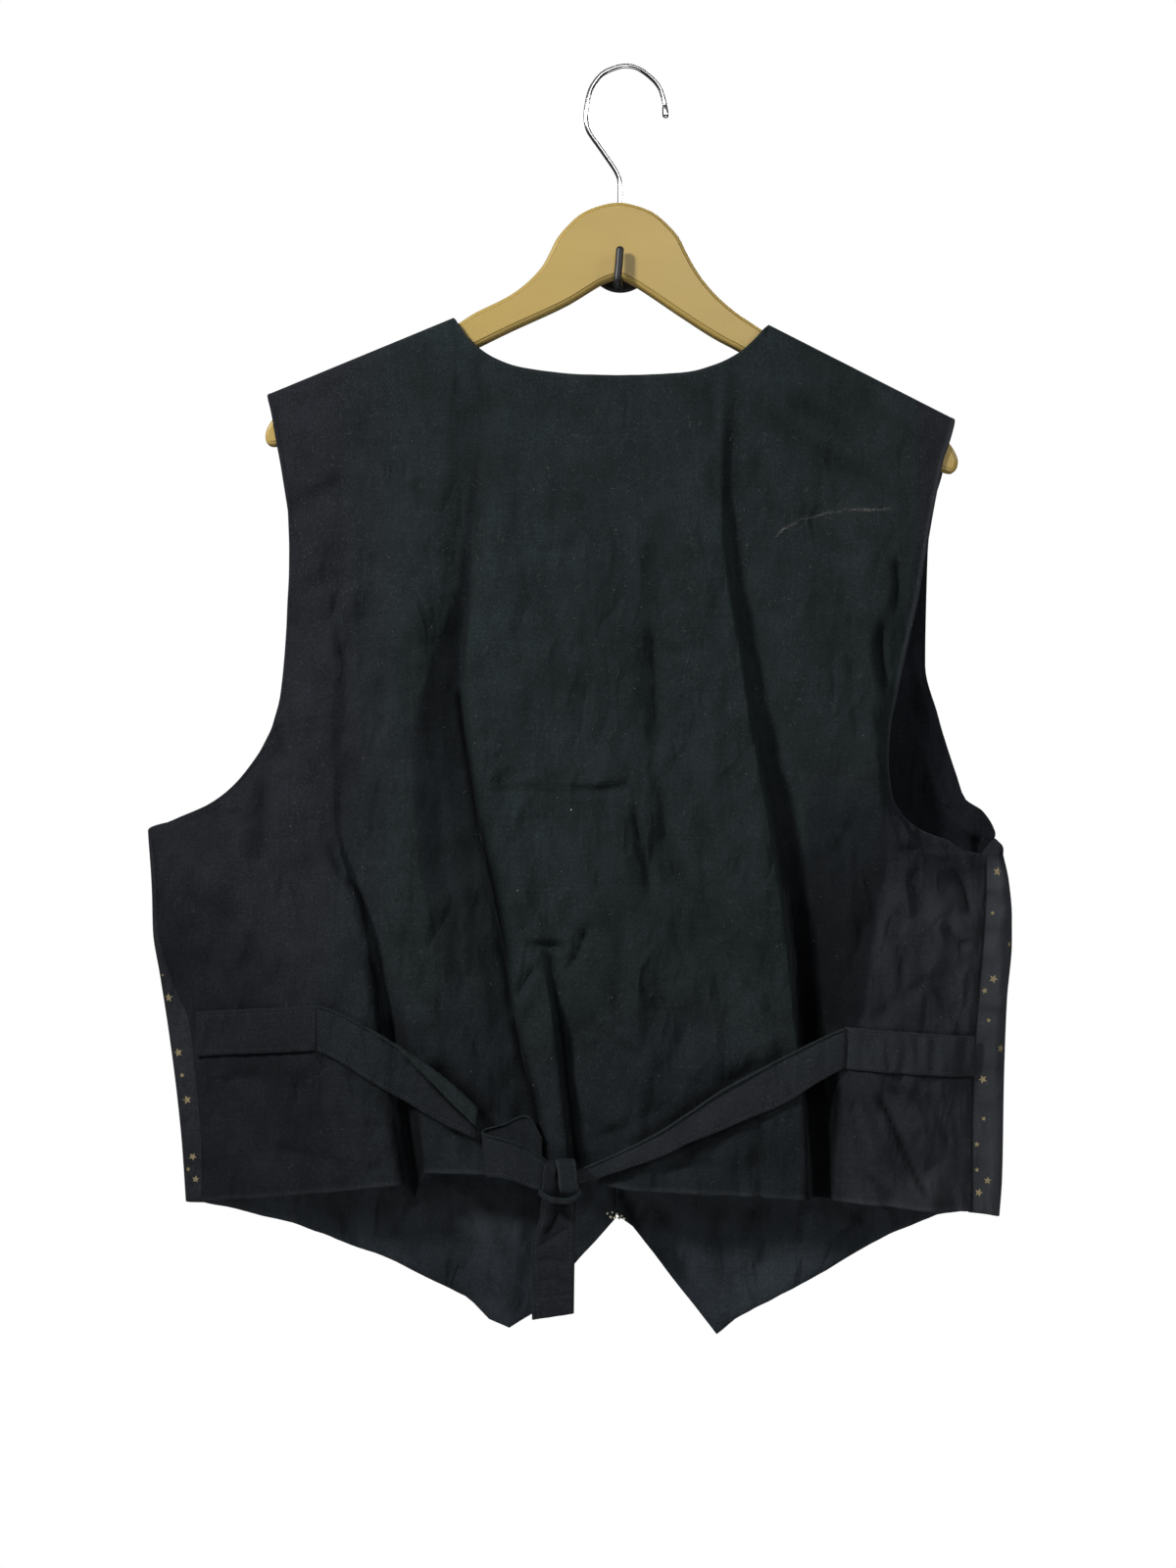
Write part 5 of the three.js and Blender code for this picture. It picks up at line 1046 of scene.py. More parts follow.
# sewn bands lie on the panel: x and z of their four corners
BASES = [
    dict(name='strap_left_base', x0=-273.6, x1=-193.2, top0=-493.5, top1=-487, low0=-522, low1=-515, seed=71),
    dict(name='strap_right_base', x0=141.5, x1=226.8, top0=-500.5, top1=-509, low0=-526.5, low1=-534.5, seed=73),
]
STRAPS = {}
for b in BASES:
    nc, nr = 91, 21
    g = np.zeros((nr, nc, 3))
    for i in range(nc):
        t = i / (nc - 1)
        x = lerp(b['x0'], b['x1'], t)
        for r in range(nr):
            z = lerp(lerp(b['top0'], b['top1'], t), lerp(b['low0'], b['low1'], t), r / (nr - 1))
            g[r, i] = (x, bridge(x, z, 2.5), z)
    g[..., 1] = np.minimum(blur(g[..., 1], 3), g[..., 1] + 0.15) - STRAP / 2 - 0.45
    s = np.linspace(0, 1, nr)[:, None]
    u = np.linspace(0, 1, nc)[None, :]
    puff = 0.55 * (1 - (2 * s - 1) ** 6) + 0.25 * np.sin(u * 47 + b['seed']) * (np.exp(-(s / 0.2) ** 2) + np.exp(-((1 - s) / 0.2) ** 2))
    puff += 0.65 * waves(g[..., 0], g[..., 2] * 0.4, 15, b['seed']) * (1 - (2 * s - 1) ** 4)
    puff -= 0.35 * (np.exp(-((s - 0.09) / 0.03) ** 2) + np.exp(-((s - 0.91) / 0.03) ** 2))
    g[..., 1] -= np.maximum(puff, -0.1)
    # painted light on the right band, painted shade on the left one
    STRAPS[b['name']] = sheet_mesh(b['name'] + "_cloth", g, STRAP, STRAP_MAT, attrs=dict(
        tone=np.full((nr, nc), 0.25 if 'right' in b['name'] else 0.0), wear_and_painted_light=np.full((nr, nc), 0.10 if 'right' in b['name'] else 0.0), painted_shade=np.full((nr, nc), 0.0 if 'right' in b['name'] else 0.14)))
    sewn_edges(g, STRAP, rows=[2, nr - 3])
    sewn_edges(g, STRAP, cols=[2 if 'right' in b['name'] else nc - 3])


def rests(grid, gap):
    """Keeps a band off the panel behind it."""
    need = np.array([[face_y(p[0], max(p[2], -607.0)) for p in row] for row in grid]) - gap
    grid[..., 1] = np.minimum(grid[..., 1], need)
    grid[..., 1] = np.minimum(grid[..., 1], blur(grid[..., 1], 2))
    return grid


def band(name, rows, n_long, n_cross, seed, crown=0.9, thick=STRAP, hold=True, groove=0.3, ripple=0.35, sew=True, tone=0.25):
    """A strap through stations (xa, za, ya, xb, zb, yb, turned): its two edges and how
    much of its width is turned over at the first edge, towards the viewer."""
    sp = spline(rows, n_long)
    s = np.linspace(0, 1, n_cross)
    g = np.zeros((n_long, n_cross, 3))
    shade, turned = np.zeros((n_long, n_cross)), np.zeros((n_long, n_cross))
    for j, (xa, za, ya, xb, zb, yb, over_) in enumerate(sp):
        a, b = np.array([xa, ya, za]), np.array([xb, yb, zb])
        full = 1 + max(over_, 0.0)
        w = np.linalg.norm(b - a)
        for i, q in enumerate(s):
            u = 1 - q * full                   # 1 at edge b, 0 at edge a, below 0 on the turned part
            if u >= 0:
                p = lerp(a, b, u)
                dy = -crown * (1 - (2 * u - 1) ** 4)
                # painted shadow beside the edge of a turned-over flap
                shade[j, i] = min(over_ * 3, 0.85) * math.exp(-((u - over_ - 0.05) / 0.075) ** 2) if over_ > 0.07 else 0.0
            else:
                v = -u
                turned[j, i] = 1.0
                p = lerp(a, b, v)
                dy = -crown * (1 - (2 * v - 1) ** 4) - 2.6 * math.sqrt(min(1.0, v * w / 1.8)) - 0.5 * math.sin(min(1.0, v / max(over_, 1e-3)) * 3.1)
            g[j, i] = p + np.array([0, dy, 0])
    if groove:
        for c in (0.085, 0.915):
            g[..., 1] += groove * np.exp(-((s[None, :] - c) / 0.03) ** 2)
    ends = np.linspace(0, 1, n_long)[:, None]
    g[..., 1] -= ripple * waves(g[..., 0], g[..., 2], 15, seed) * smooth(ends / 0.08) * smooth((1 - ends) / 0.08)
    if hold:
        g = rests(g, thick / 2 + 0.55)
    if sew:
        sewn_edges(g, thick, cols=[int(round(0.085 * (n_cross - 1))), int(round(0.915 * (n_cross - 1)))])
    # painted shadow from above, and painted light on the right strap
    ob = sheet_mesh(name + "_cloth", g, thick, STRAP_MAT, attrs=dict(
        tone=np.clip(tone + 0.7 * turned, 0, 1), painted_shade=shade, wear_and_painted_light=np.full(g.shape[:2], 0.05 if 'right' in name else 0.0)))
    STRAPS[name] = ob
    return g


def off_face(rows, reach=8.0):
    return [(xa, za, bridge(xa, za, reach) - ya, xb, zb, bridge(xb, max(zb, -590), reach) - yb, t) for xa, za, ya, xb, zb, yb, t in rows]


LEFT_FREE = [
    (-192.6, -486.8, 1.4, -192.3, -515.5, 1.4, 0.02), (-180, -491, 2, -180, -521, 2, 0.02), (-152.7, -505.1, 3, -155.8, -536.1, 2.5, 0.03),
    (-137.8, -514.4, 4, -138, -547, 3, 0.08), (-118, -527, 5, -116, -560, 3, 0.30), (-101.3, -540.4, 5.5, -99, -567, 3, 0.50), (-91, -550.5, 5, -93, -570, 3, 0.58)]
RIGHT_FREE = [
    (140.8, -500.8, 1.4, 140.8, -525.5, 1.4, 0.02), (130.3, -505.1, 3, 121, -536.1, 2.5, 0.02), (108, -515.6, 3, 102, -547.5, 3, 0.02),
    (82.6, -528.6, 3, 78, -558, 4, 0.03), (61.6, -540.4, 3, 60, -566, 4.5, 0.04), (42.9, -553.6, 3, 44, -572, 5, 0.05), (21.3, -567.4, 3, 25, -581, 5, 0.05),
    (-2.2, -579.6, 3, 1, -589.5, 5, 0.05), (-23.2, -589, 3, -21.5, -598, 5, 0.05)]
band('strap_left_free', off_face(LEFT_FREE), 110, 37, 81, crown=0.8)
band('strap_right_free', off_face(RIGHT_FREE) + [(-33, -591.5, -70.5, -33, -598.5, -71.0, 0.05)], 150, 33, 83, crown=0.8)
# loop: the band goes on behind, turns back at its left and comes out in front
LOOP = [
    (-50.6, -570, -64.5, -50.6, -590, -64.5, 0.02), (-59.8, -555.5, -65, -58, -586, -65, 0.02), (-75, -560.5, -66.5, -72, -588, -66, 0.02),
    (-85.0, -563.0, -68.0, -82.6, -590, -68.0, 0.02), (-87.7, -564.3, -71.6, -85.2, -591.8, -71.6, 0.02), (-84.8, -565.5, -75.0, -82.8, -592.2, -75.0, 0.02),
    (-74, -568.2, -77.2, -75, -592.4, -77.2, 0.02), (-63.5, -571.4, -77.4, -67, -594.5, -77.2, 0.02), (-52.0, -578.2, -75.4, -52.6, -600.2, -75.6, 0.02), (-46.0, -583.6, -72.4, -46.0, -599.0, -72.6, 0.02)]
band('strap_loop', LOOP, 130, 27, 85, crown=0.0, hold=False, ripple=0.25, groove=0.15)
TAIL = [
    (-50.2, -606.5, -69.5, -29.2, -606.5, -69.0, 0.02), (-52, -622, -66.5, -29.6, -620, -67, 0.02), (-56.6, -634, -65.2, -30, -632, -65.2, 0.02),
    (-56.6, -655, -63.2, -30.4, -655, -63, 0.02), (-56.4, -685, -60.8, -30.7, -681.2, -60.4, 0.02)]


def tail_form(g):
    """Wrinkles under the knot and the sewn end of the hanging end."""
    x, z = g[..., 0], g[..., 2]
    for deep, wl, wr, points in [
            (2.6, 2.0, 3.0, [(-53, -632), (-46, -627), (-41, -617), (-42, -609)]), (2.0, 1.4, 3.0, [(-34, -609), (-36, -616), (-32, -623)]),
            (1.8, 1.6, 2.6, [(-30, -624), (-38, -629), (-48, -636), (-56, -640)]), (1.2, 1.6, 3.0, [(-56, -648), (-46, -646), (-33, -650)]),
            (1.0, 1.8, 3.0, [(-55, -662), (-44, -659), (-32, -664)]), (0.8, 1.6, 2.6, [(-34, -640), (-39, -652), (-36, -668)])]:
        g[..., 1] += crease(x, z, points, deep, wl, wr)
    return g


tail = spline(TAIL, 90)
s_ = np.linspace(0, 1, 31)
tg = np.stack([lerp(tail[:, None, 0], tail[:, None, 3], s_), lerp(tail[:, None, 2], tail[:, None, 5], s_), lerp(tail[:, None, 1], tail[:, None, 4], s_)], -1)
tg[..., 1] -= 0.7 * (1 - (2 * s_[None, :] - 1) ** 4) * (1 - 0.6 * smooth((-640 - tg[..., 2]) / 30))
tg = tail_form(tg)
for c in (0.09, 0.91):
    tg[..., 1] += 0.3 * np.exp(-((s_[None, :] - c) / 0.03) ** 2)
end = tg[-1:, :, 2]
tg[..., 1] -= 0.35 * smooth((end + 12.4 - tg[..., 2]) / 0.8)
tg[..., 1] += 0.3 * np.exp(-((tg[..., 2] - end - 12.9) / 0.8) ** 2)
tg[..., 1] -= 0.3 * waves(tg[..., 0], tg[..., 2], 14, 87)
# painted shade: the dark neck of the tail under the knot and along its first wrinkle
tail_painted_shade = np.maximum(0.75 * smooth((tg[..., 2] + 626) / 16) * np.exp(-((tg[..., 0] + 37) / 9) ** 2), crease(tg[..., 0], tg[..., 2], [(-53, -635), (-47, -629), (-41, -618), (-42, -609)], 0.8, 2.4, 2.4))
STRAPS['strap_tail'] = sheet_mesh("strap_tail_cloth", tg, STRAP, STRAP_MAT, attrs=dict(tone=np.full(tg.shape[:2], 0.2), painted_shade=np.clip(tail_painted_shade, 0, 0.85)))
sewn_edges(tg, STRAP, cols=[3, 27], rows=[int(np.argmin(np.abs(tg[:, 15, 2] - tg[-1, 15, 2] - 11.6)))])

# knot: two upright turns and the lower turn that lies over them
TURNS = [
    dict(name='knot_turn_left', x0=-49.4, x1=-42.2, up=-584.0, low=-603.5, rear=-65.5, front=-77.0, lean=1.4, seed=91),
    dict(name='knot_turn_right', x0=-39.6, x1=-28.4, up=-582.8, low=-602.5, rear=-65, front=-78.8, lean=-1.6, seed=93),
]
for t in TURNS:
    nl, nc = 96, 15
    rz, ry = (t['up'] - t['low']) / 2, (t['rear'] - t['front']) / 2
    zc, yc = (t['up'] + t['low']) / 2, (t['rear'] + t['front']) / 2
    g = np.zeros((nl, nc, 3))   # each turn goes round the band, open behind
    for j in range(nl):
        a = lerp(0.9 * math.pi, -0.9 * math.pi, j / (nl - 1))
        e = lambda v: math.copysign(abs(v) ** 0.5, v)
        for i in range(nc):
            q = 2 * i / (nc - 1) - 1
            big = 1 + 0.10 * (1 - q * q) - 0.05 * (abs(q) ** 6)
            big += 0.025 * math.sin(a * 5 + q * 2.4 + t['seed']) * (1 - q ** 4)
            g[j, i] = (lerp(t['x0'], t['x1'], i / (nc - 1)) + t['lean'] * math.sin(a), yc - ry * big * e(math.cos(a)), zc + rz * (1 + (big - 1) * 0.3) * e(math.sin(a)))
    # painted highlights along both edges of each turn, and painted shade on the left turn
    STRAPS[t['name']] = sheet_mesh(t['name'] + "_cloth", g, STRAP, STRAP_MAT, attrs=dict(
        tone=np.full((nl, nc), 0.2), wear_and_painted_light=np.tile(0.30 * np.exp(-((np.abs(np.linspace(-1, 1, nc)) - 0.95) / 0.1) ** 2), (nl, 1)), painted_shade=np.full((nl, nc), 0.30 if 'left' in t['name'] else 0.0)))
LOW_TURN = [
    (-51.8, -599.8, -76.8, -52.2, -602.4, -76.8, 0.02), (-46.5, -603.0, -80.2, -47.0, -606.0, -80.2, 0.02), (-38.5, -604.6, -81.6, -38.5, -607.8, -81.6, 0.02),
    (-30.5, -603.4, -81.2, -30.0, -606.4, -81.2, 0.02), (-25.8, -600.0, -78.4, -25.4, -602.6, -78.4, 0.02)]
band('knot_turn_low', LOW_TURN, 60, 17, 95, crown=0.5, thick=1.1, hold=False, groove=0, ripple=0.15, sew=False)
PIECES += list(STRAPS.values())

# ----------------------------------------------------------------- buttons
BUTTON = dict(r=7.5, thick=3.0, top=-312.0, step=69.0, count=5)
OUT_BVH = {k: bvh_of(v) for k, v in FRONT_OUT.items()}


def lathe(name, profile, centre, sides, material):
    """Turned form round an axis along Y through centre."""
    ang = np.arange(sides) * 2 * math.pi / sides
    rings = [np.stack([centre[0] + r * np.cos(ang), np.full(sides, centre[1] + y), centre[2] + r * np.sin(ang)], -1) for r, y in profile[1:-1]]
    v = np.concatenate(rings + [[[centre[0], centre[1] + profile[0][1], centre[2]]], [[centre[0], centre[1] + profile[-1][1], centre[2]]]])
    n = len(rings)
    faces = []
    for j in range(n - 1):
        for i in range(sides):
            k = (i + 1) % sides
            faces.append((j * sides + i, j * sides + k, (j + 1) * sides + k, (j + 1) * sides + i))
    for i in range(sides):
        k = (i + 1) % sides
        faces.append((n * sides, k, i))
        faces.append((n * sides + 1, (n - 1) * sides + i, (n - 1) * sides + k))
    me = bpy.data.meshes.new(name)
    me.from_pydata((v / 1000).tolist(), [], faces)
    me.polygons.foreach_set("use_smooth", [True] * len(me.polygons))
    me.update()
    ob = bpy.data.objects.new(name, me)
    bpy.context.collection.objects.link(ob)
    me.materials.append(material)
    turn_out(ob)
    return ob


BUTTON_THREAD, HOLE_THREAD = Bits(), Bits()
BUTTONS = []
for k in range(BUTTON['count']):
    r, h = BUTTON['r'], BUTTON['thick']
    z = BUTTON['top'] - k * BUTTON['step']
    y = float(front_depth(FRONT['right'], np.array(LAP_X), np.array(z), np.array(400.0))) + 0.6 + 1.2
    surface = hit(OUT_BVH['right'], LAP_X, z, -1.0)
    if surface is not None:
        y = max(y - 0.8, surface[0][1] + 0.5)
    prof = [(0, 0.25), (r - 1.6, 0.25), (r - 1.0, 0.3), (r - 0.3, 0.9), (r, 1.5), (r - 0.05, h - 0.7), (r - 0.4, h - 0.15), (r - 0.9, h), (r - 1.6, h - 0.1),
            (r - 2.1, h - 0.5), (r - 2.6, h - 0.85), (r - 3.4, h - 1.0), (0, h - 1.0)]
    BUTTONS.append(lathe(f"button_{k + 1}_disc", prof, (LAP_X, y, z), 56, BUTTON_MAT))
    top_y = y + h - 0.85
    for sx in (-1.2, 1.2):
        a, b = np.array([LAP_X + sx, top_y, z - 1.5]), np.array([LAP_X + sx, top_y, z + 1.5])
        for w in (-0.28, 0.0, 0.28):
            o = np.array([w, 0, 0])
            c = (a + b) / 2 + o
            BUTTON_THREAD.add([a + o * 0.6, b + o * 0.6, c + [0.17, 0, 0], c - [0.17, 0, 0], c + [0, 0.42, 0], c - [0, 0.2, 0]], OCTA)
    # buttonhole: dense stitches round a slit in the upper front
    for q in range(46):
        ang = 2 * math.pi * q / 46
        cx = LAP_X + 4.5 + 9.2 * max(-1, min(1, 1.25 * math.cos(ang)))
        cz = z + 1.0 * max(-1, min(1, 1.4 * math.sin(ang)))
        sfc = hit(OUT_BVH['right'], cx, cz, -1.0)
        if sfc is None:
            continue
        p, n = sfc
        dz = 0.9 if math.sin(ang) >= 0 else -0.9
        a, b = p + [0, 0.05, 0], p + [0.1, 0.05, dz]
        c = (a + b) / 2
        HOLE_THREAD.add([a, b, c + [0.2, 0, 0], c - [0.2, 0, 0], c + [0, 0.22, 0], c - [0, 0.2, 0]], OCTA)
button_thread = BUTTON_THREAD.mesh("button_threads", THREAD_MAT)
hole_thread = HOLE_THREAD.mesh("buttonhole_threads", THREAD_MAT)

# ------------------------------------------------------------------ hanger
HANGER_MID, HANGER_THICK = -36.0, 12.0
HANGER = [
    (-1.2, 27.2), (-13.3, 25.3), (-25.4, 20.2), (-35.1, 11.7), (-41.8, 3.4), (-46.1, -5.2), (-50.8, -13.7), (-59.3, -23.1), (-71.3, -32.3), (-95.5, -44.6),
    (-103, -49.5), (-110, -53.6), (-147.8, -69.5), (-185.7, -87.5), (-210.9, -102), (-225, -113.5), (-228.8, -122.5), (-227.4, -128), (-221.7, -128.8),
    (-156, -97.5), (-91.9, -64.8), (-71.3, -54.7), (-35.1, -37.9), (-10, -23.2), (-1.2, -20.9), (7, -24.4), (39, -45.5), (59.2, -58.5), (77.8, -68.6),
    (142, -107.5), (206.6, -145.1), (213.8, -146), (216.5, -140), (214.2, -132.8), (209, -125.5), (199.7, -117.3), (174.4, -101.3), (136.5, -80.5), (98, -59.4),
    (89, -53.6), (73.3, -43), (63.2, -34.4), (54.1, -24.4), (47.1, -14.3), (41.6, -4.2), (37, 4.9), (30.4, 12.6), (21.9, 20), (11.8, 24.6)]


def closed_curve(points, step=1.6):
    """Centripetal curve round a closed outline, in even steps."""
    p = np.asarray(points, float)
    n = len(p)
    out = []
    for i in range(n):
        q = [p[(i + k) % n] for k in (-1, 0, 1, 2)]
        t = [0.0]
        for a, b in zip(q, q[1:]):
            t.append(t[-1] + max(np.linalg.norm(b - a), 1e-6) ** 0.5)
        for u in np.linspace(t[1], t[2], 26, endpoint=False):
            a1 = (t[1] - u) / (t[1] - t[0]) * q[0] + (u - t[0]) / (t[1] - t[0]) * q[1]
            a2 = (t[2] - u) / (t[2] - t[1]) * q[1] + (u - t[1]) / (t[2] - t[1]) * q[2]
            a3 = (t[3] - u) / (t[3] - t[2]) * q[2] + (u - t[2]) / (t[3] - t[2]) * q[3]
            b1 = (t[2] - u) / (t[2] - t[0]) * a1 + (u - t[0]) / (t[2] - t[0]) * a2
            b2 = (t[3] - u) / (t[3] - t[1]) * a2 + (u - t[1]) / (t[3] - t[1]) * a3
            out.append((t[2] - u) / (t[2] - t[1]) * b1 + (u - t[1]) / (t[2] - t[1]) * b2)
    out = np.array(out + [out[0]])
    s = np.concatenate([[0], np.cumsum(np.linalg.norm(np.diff(out, axis=0), axis=1))])
    m = int(s[-1] / step)
    want = np.linspace(0, s[-1], m, endpoint=False)
    return np.stack([np.interp(want, s, out[:, k]) for k in (0, 1)], -1)


outline = closed_curve(HANGER)
tang = np.roll(outline, -1, 0) - np.roll(outline, 1, 0)
inward = np.stack([-tang[:, 1], tang[:, 0]], -1)
inward /= np.linalg.norm(inward, axis=1, keepdims=True)
area2 = np.sum(outline[:, 0] * np.roll(outline[:, 1], -1) - np.roll(outline[:, 0], -1) * outline[:, 1])
if area2 < 0:
    inward = -inward
EDGE_R = 2.6
# section of the rim: distance in from the outline, height over the middle
rim = [(EDGE_R * (1 - math.sin(a)), HANGER_THICK / 2 - EDGE_R * (1 - math.cos(a))) for a in np.linspace(0, math.pi / 2, 6)]
rim = [(q, h) for q, h in rim] + [(q, -h) for q, h in reversed(rim)]
rings = [np.stack([outline[:, 0] + inward[:, 0] * q, np.full(len(outline), HANGER_MID - h), outline[:, 1] + inward[:, 1] * q], -1) for q, h in rim]
m_ = len(outline)
hv = np.concatenate(rings)
hf = []
for j in range(len(rings) - 1):
    for i in range(m_):
        k = (i + 1) % m_
        hf.append((j * m_ + i, j * m_ + k, (j + 1) * m_ + k, (j + 1) * m_ + i))
hf.append(tuple(range(m_)))
hf.append(tuple(range(len(hv) - 1, len(hv) - m_ - 1, -1)))
hm = bpy.data.meshes.new("hanger_wood")
hm.from_pydata((hv / 1000).tolist(), [], hf)
hm.polygons.foreach_set("use_smooth", [True] * (len(hf) - 2) + [False, False])
hm.materials.append(HANGER_MAT)
hm.update()
hanger = bpy.data.objects.new("hanger_wood", hm)
bpy.context.collection.objects.link(hanger)
turn_out(hanger)

WIRE_R = 1.6
WIRE = [(-0.7, 27.6), (-0.7, 40.1), (-1.7, 45), (-4.9, 51), (-13.3, 63.1), (-20.2, 72.9), (-22.2, 78.5), (-22.6, 87), (-20.6, 98.3), (-17, 105.6), (-10.9, 112),
        (1.3, 116.3), (10.9, 114.7), (19.5, 108.6), (24.9, 102.1), (28, 92.2), (28.7, 84.3)]
wp = spline([(x, HANGER_MID, z) for x, z in WIRE], 220)
for _ in range(6):
    wp[1:-1] = (wp[:-2] + 2 * wp[1:-1] + wp[2:]) / 4
wr = np.full(220, WIRE_R)
wr[-9:] = WIRE_R + 0.55 * np.sin(np.linspace(0.25, 1.0, 9) * math.pi * 0.62)
wire = tube_mesh("hook_wire_bent", wp, wr, 24, CHROME_MAT)

# --------------------------------------------------------------- wall hook
PLATE_R, PLATE_T, PRONG_R = 21.5, 4.0, 2.5
plate = lathe("wall_plate_disc", [(0, 0), (PLATE_R - 0.3, 0), (PLATE_R, -0.4), (PLATE_R, -PLATE_T + 1.4), (PLATE_R - 0.4, -PLATE_T + 0.5), (PLATE_R - 1.4, -PLATE_T), (0, -PLATE_T)], (0, 0, 0), 96, BLACK_MAT)
PRONG = [(-1.2, -PLATE_T - 0.4, -14), (-1.2, -8.5, -14.4), (-1.2, -11.5, -17.5), (-1.2, -15, -21.5), (-1.2, -22, -23.8), (-1.2, -30, -24), (-1.4, -38, -24.3), (-2, -43, -26.4),
         (-2.6, -46.2, -27.8), (-2.6, -48.8, -26), (-2.4, -49.3, -22), (-1.6, -48.8, -14), (-1, -48.2, -5.2)]
pp = spline(PRONG, 120)
for _ in range(4):
    pp[1:-1] = (pp[:-2] + 2 * pp[1:-1] + pp[2:]) / 4
prong = tube_mesh("wall_prong_bent", pp, PRONG_R, 20, BLACK_MAT)

# ------------------------------------------------------------- star motifs
def star_points(p, u, v, r, turn):
    out = []
    for k in range(10):
        a = turn + math.pi * k / 5
        q = r if k % 2 == 0 else r * 0.46
        out.append(p + u * math.cos(a) * q + v * math.sin(a) * q)
    return out


STAR_TRIS = [(10, k, (k + 1) % 10) for k in range(10)]


def place_star(bits, skin, x, z, r, turn, toward):
    got = hit(skin, x, z, toward)
    if got is None:
        return False
    p, n = got
    u = np.cross(n, [0, 0, 1])
    if np.linalg.norm(u) < 1e-3:
        return False
    u /= np.linalg.norm(u)
    v = np.cross(u, n)
    pts = []
    for q in star_points(p, u, v, r, turn) + [p]:
        loc, nrm, _, dist = skin.find_nearest(Vector(q))
        if loc is None or dist > 1.5:
            return False
        m = np.array(nrm)
        m = m if np.dot(m, n) > 0 else -m
        pts.append(np.array(loc) + m * 0.09)
    bits.add(pts, STAR_TRIS)
    return True


GOLD = Bits()
for side, x, z, r in STARS:
    place_star(GOLD, OUT_BVH[side], x, z, r, rng.uniform(0, 6.28), 1.0)
# the same scatter over the whole of both fronts, one to a square of 15 mm
for key in ('left', 'right'):
    x0, x1 = (-300, 0) if key == 'left' else (-24, 252)
    for gx in np.arange(x0, x1, 15.5):
        for gz in np.arange(-60, -706, -15.5):
            x, z = gx + rng.uniform(-4.5, 4.5), gz + rng.uniform(-4.5, 4.5)
            r = 3.0 if rng.uniform() < 0.55 else 1.7
            turn = rng.uniform(0, 6.28)
            if key == 'left' and x > -30 and z < -270:
                continue
            place_star(GOLD, OUT_BVH[key], x, z, r, turn, -1.0)
stars = GOLD.mesh("star_print", GOLD_MAT)

# pale gold points on the turned edge where the two fronts part
DOTS = Bits()
LIN_BVH = {k: bvh_of(v) for k, v in LINING_GRID.items()}
for x, z, r in [(-8.8, -627.2, 0.6), (-6.6, -629.5, 0.8), (-5.6, -626.6, 0.6), (-4.0, -630.2, 0.8), (-2.6, -628.4, 0.7), (-0.9, -630.6, 0.8), (0.6, -629.6, 0.6), (2.2, -631.4, 0.7)]:
    got = hit(LIN_BVH['left'], x, z) or hit(LIN_BVH['right'], x, z)
    y = got[0][1] - 0.6 if got is not None else -15.5
    r *= 1.7
    c = np.array([x, y - 0.4, z])
    DOTS.add([c + [r, 0, 0], c - [r, 0, 0], c + [0, r * 0.6, 0], c - [0, r * 0.6, 0], c + [0, 0, r], c - [0, 0, r]], OCTA)
dots = DOTS.mesh("edge_points", PALE_GOLD_MAT)
sewing = SEWING.mesh("strap_stitches", THREAD_MAT)

# -------------------------------------------------------------------- lint
HAIRS, SPECKS = Bits(), Bits()
RING = [(0.0, 1.0), (0.866, -0.5), (-0.866, -0.5)]


def hair(x, z, length, heading, curl, radius):
    pts = []
    a = heading
    n = 7
    for k in range(n):
        got = hit(BACK_BVH, x, z)
        if got is None or got[0][1] > -38:
            return
        lift = 0.12 + 0.5 * max(0.0, math.sin(math.pi * k / (n - 1))) * radius * 6
        pts.append(got[0] + np.array([0, -lift, 0]))
        a += curl + rng.uniform(-0.25, 0.25)
        x += math.cos(a) * length / (n - 1)
        z += math.sin(a) * length / (n - 1)
    pts = np.array(pts)
    t = np.gradient(pts, axis=0)
    t /= np.linalg.norm(t, axis=1, keepdims=True)
    verts, tris = [], []
    for k in range(n):
        s = np.cross(t[k], [0, 1, 0])
        s /= max(np.linalg.norm(s), 1e-9)
        u = np.cross(s, t[k])
        r = radius * (1.0 if 0 < k < n - 1 else 0.4)
        verts += [pts[k] + (s * a_ + u * b_) * r for a_, b_ in RING]
    for k in range(n - 1):
        for q in range(3):
            w = (q + 1) % 3
            tris += [(3 * k + q, 3 * k + w, 3 * k + 3 + w), (3 * k + q, 3 * k + 3 + w, 3 * k + 3 + q)]
    tris += [(0, 2, 1), (3 * n - 3, 3 * n - 2, 3 * n - 1)]
    HAIRS.add(verts, tris)


# hairs to a patch: x, z, spread across, spread down, how many
for cx, cz, sx, sz, count in [(-90, -190, 90, 70, 90), (30, -150, 100, 50, 60), (110, -180, 70, 70, 60), (-20, -290, 120, 70, 55), (-190, -200, 25, 60, 22), (40, -420, 140, 90, 30), (-180, -460, 60, 80, 22), (190, -460, 30, 60, 10)]:
    for _ in range(count):
        hair(rng.normal(cx, sx / 1.6), rng.normal(cz, sz / 1.6), 1.2 + 5.5 * rng.uniform() ** 2.5, rng.uniform(0, 6.28), rng.uniform(-0.4, 0.4), rng.uniform(0.018, 0.036))
SCUFF = [(97.5, -189.5), (103, -184.5), (110, -180.5), (122, -175.5), (140, -172.2), (156, -171.4), (171, -171)]
scuff = spline(SCUFF, 60)
for k in range(120):
    q = int(59 * rng.uniform() ** 0.85)
    ahead = scuff[min(q + 1, 59)] - scuff[max(q - 1, 0)]
    hair(scuff[q, 0] + rng.normal(0, 0.3), scuff[q, 1] + rng.normal(0, 0.32), rng.uniform(2.5, 6.0), math.atan2(ahead[1], ahead[0]), rng.uniform(-0.02, 0.02), rng.uniform(0.02, 0.045))
lint = HAIRS.mesh("lint_hairs", LINT_MAT)
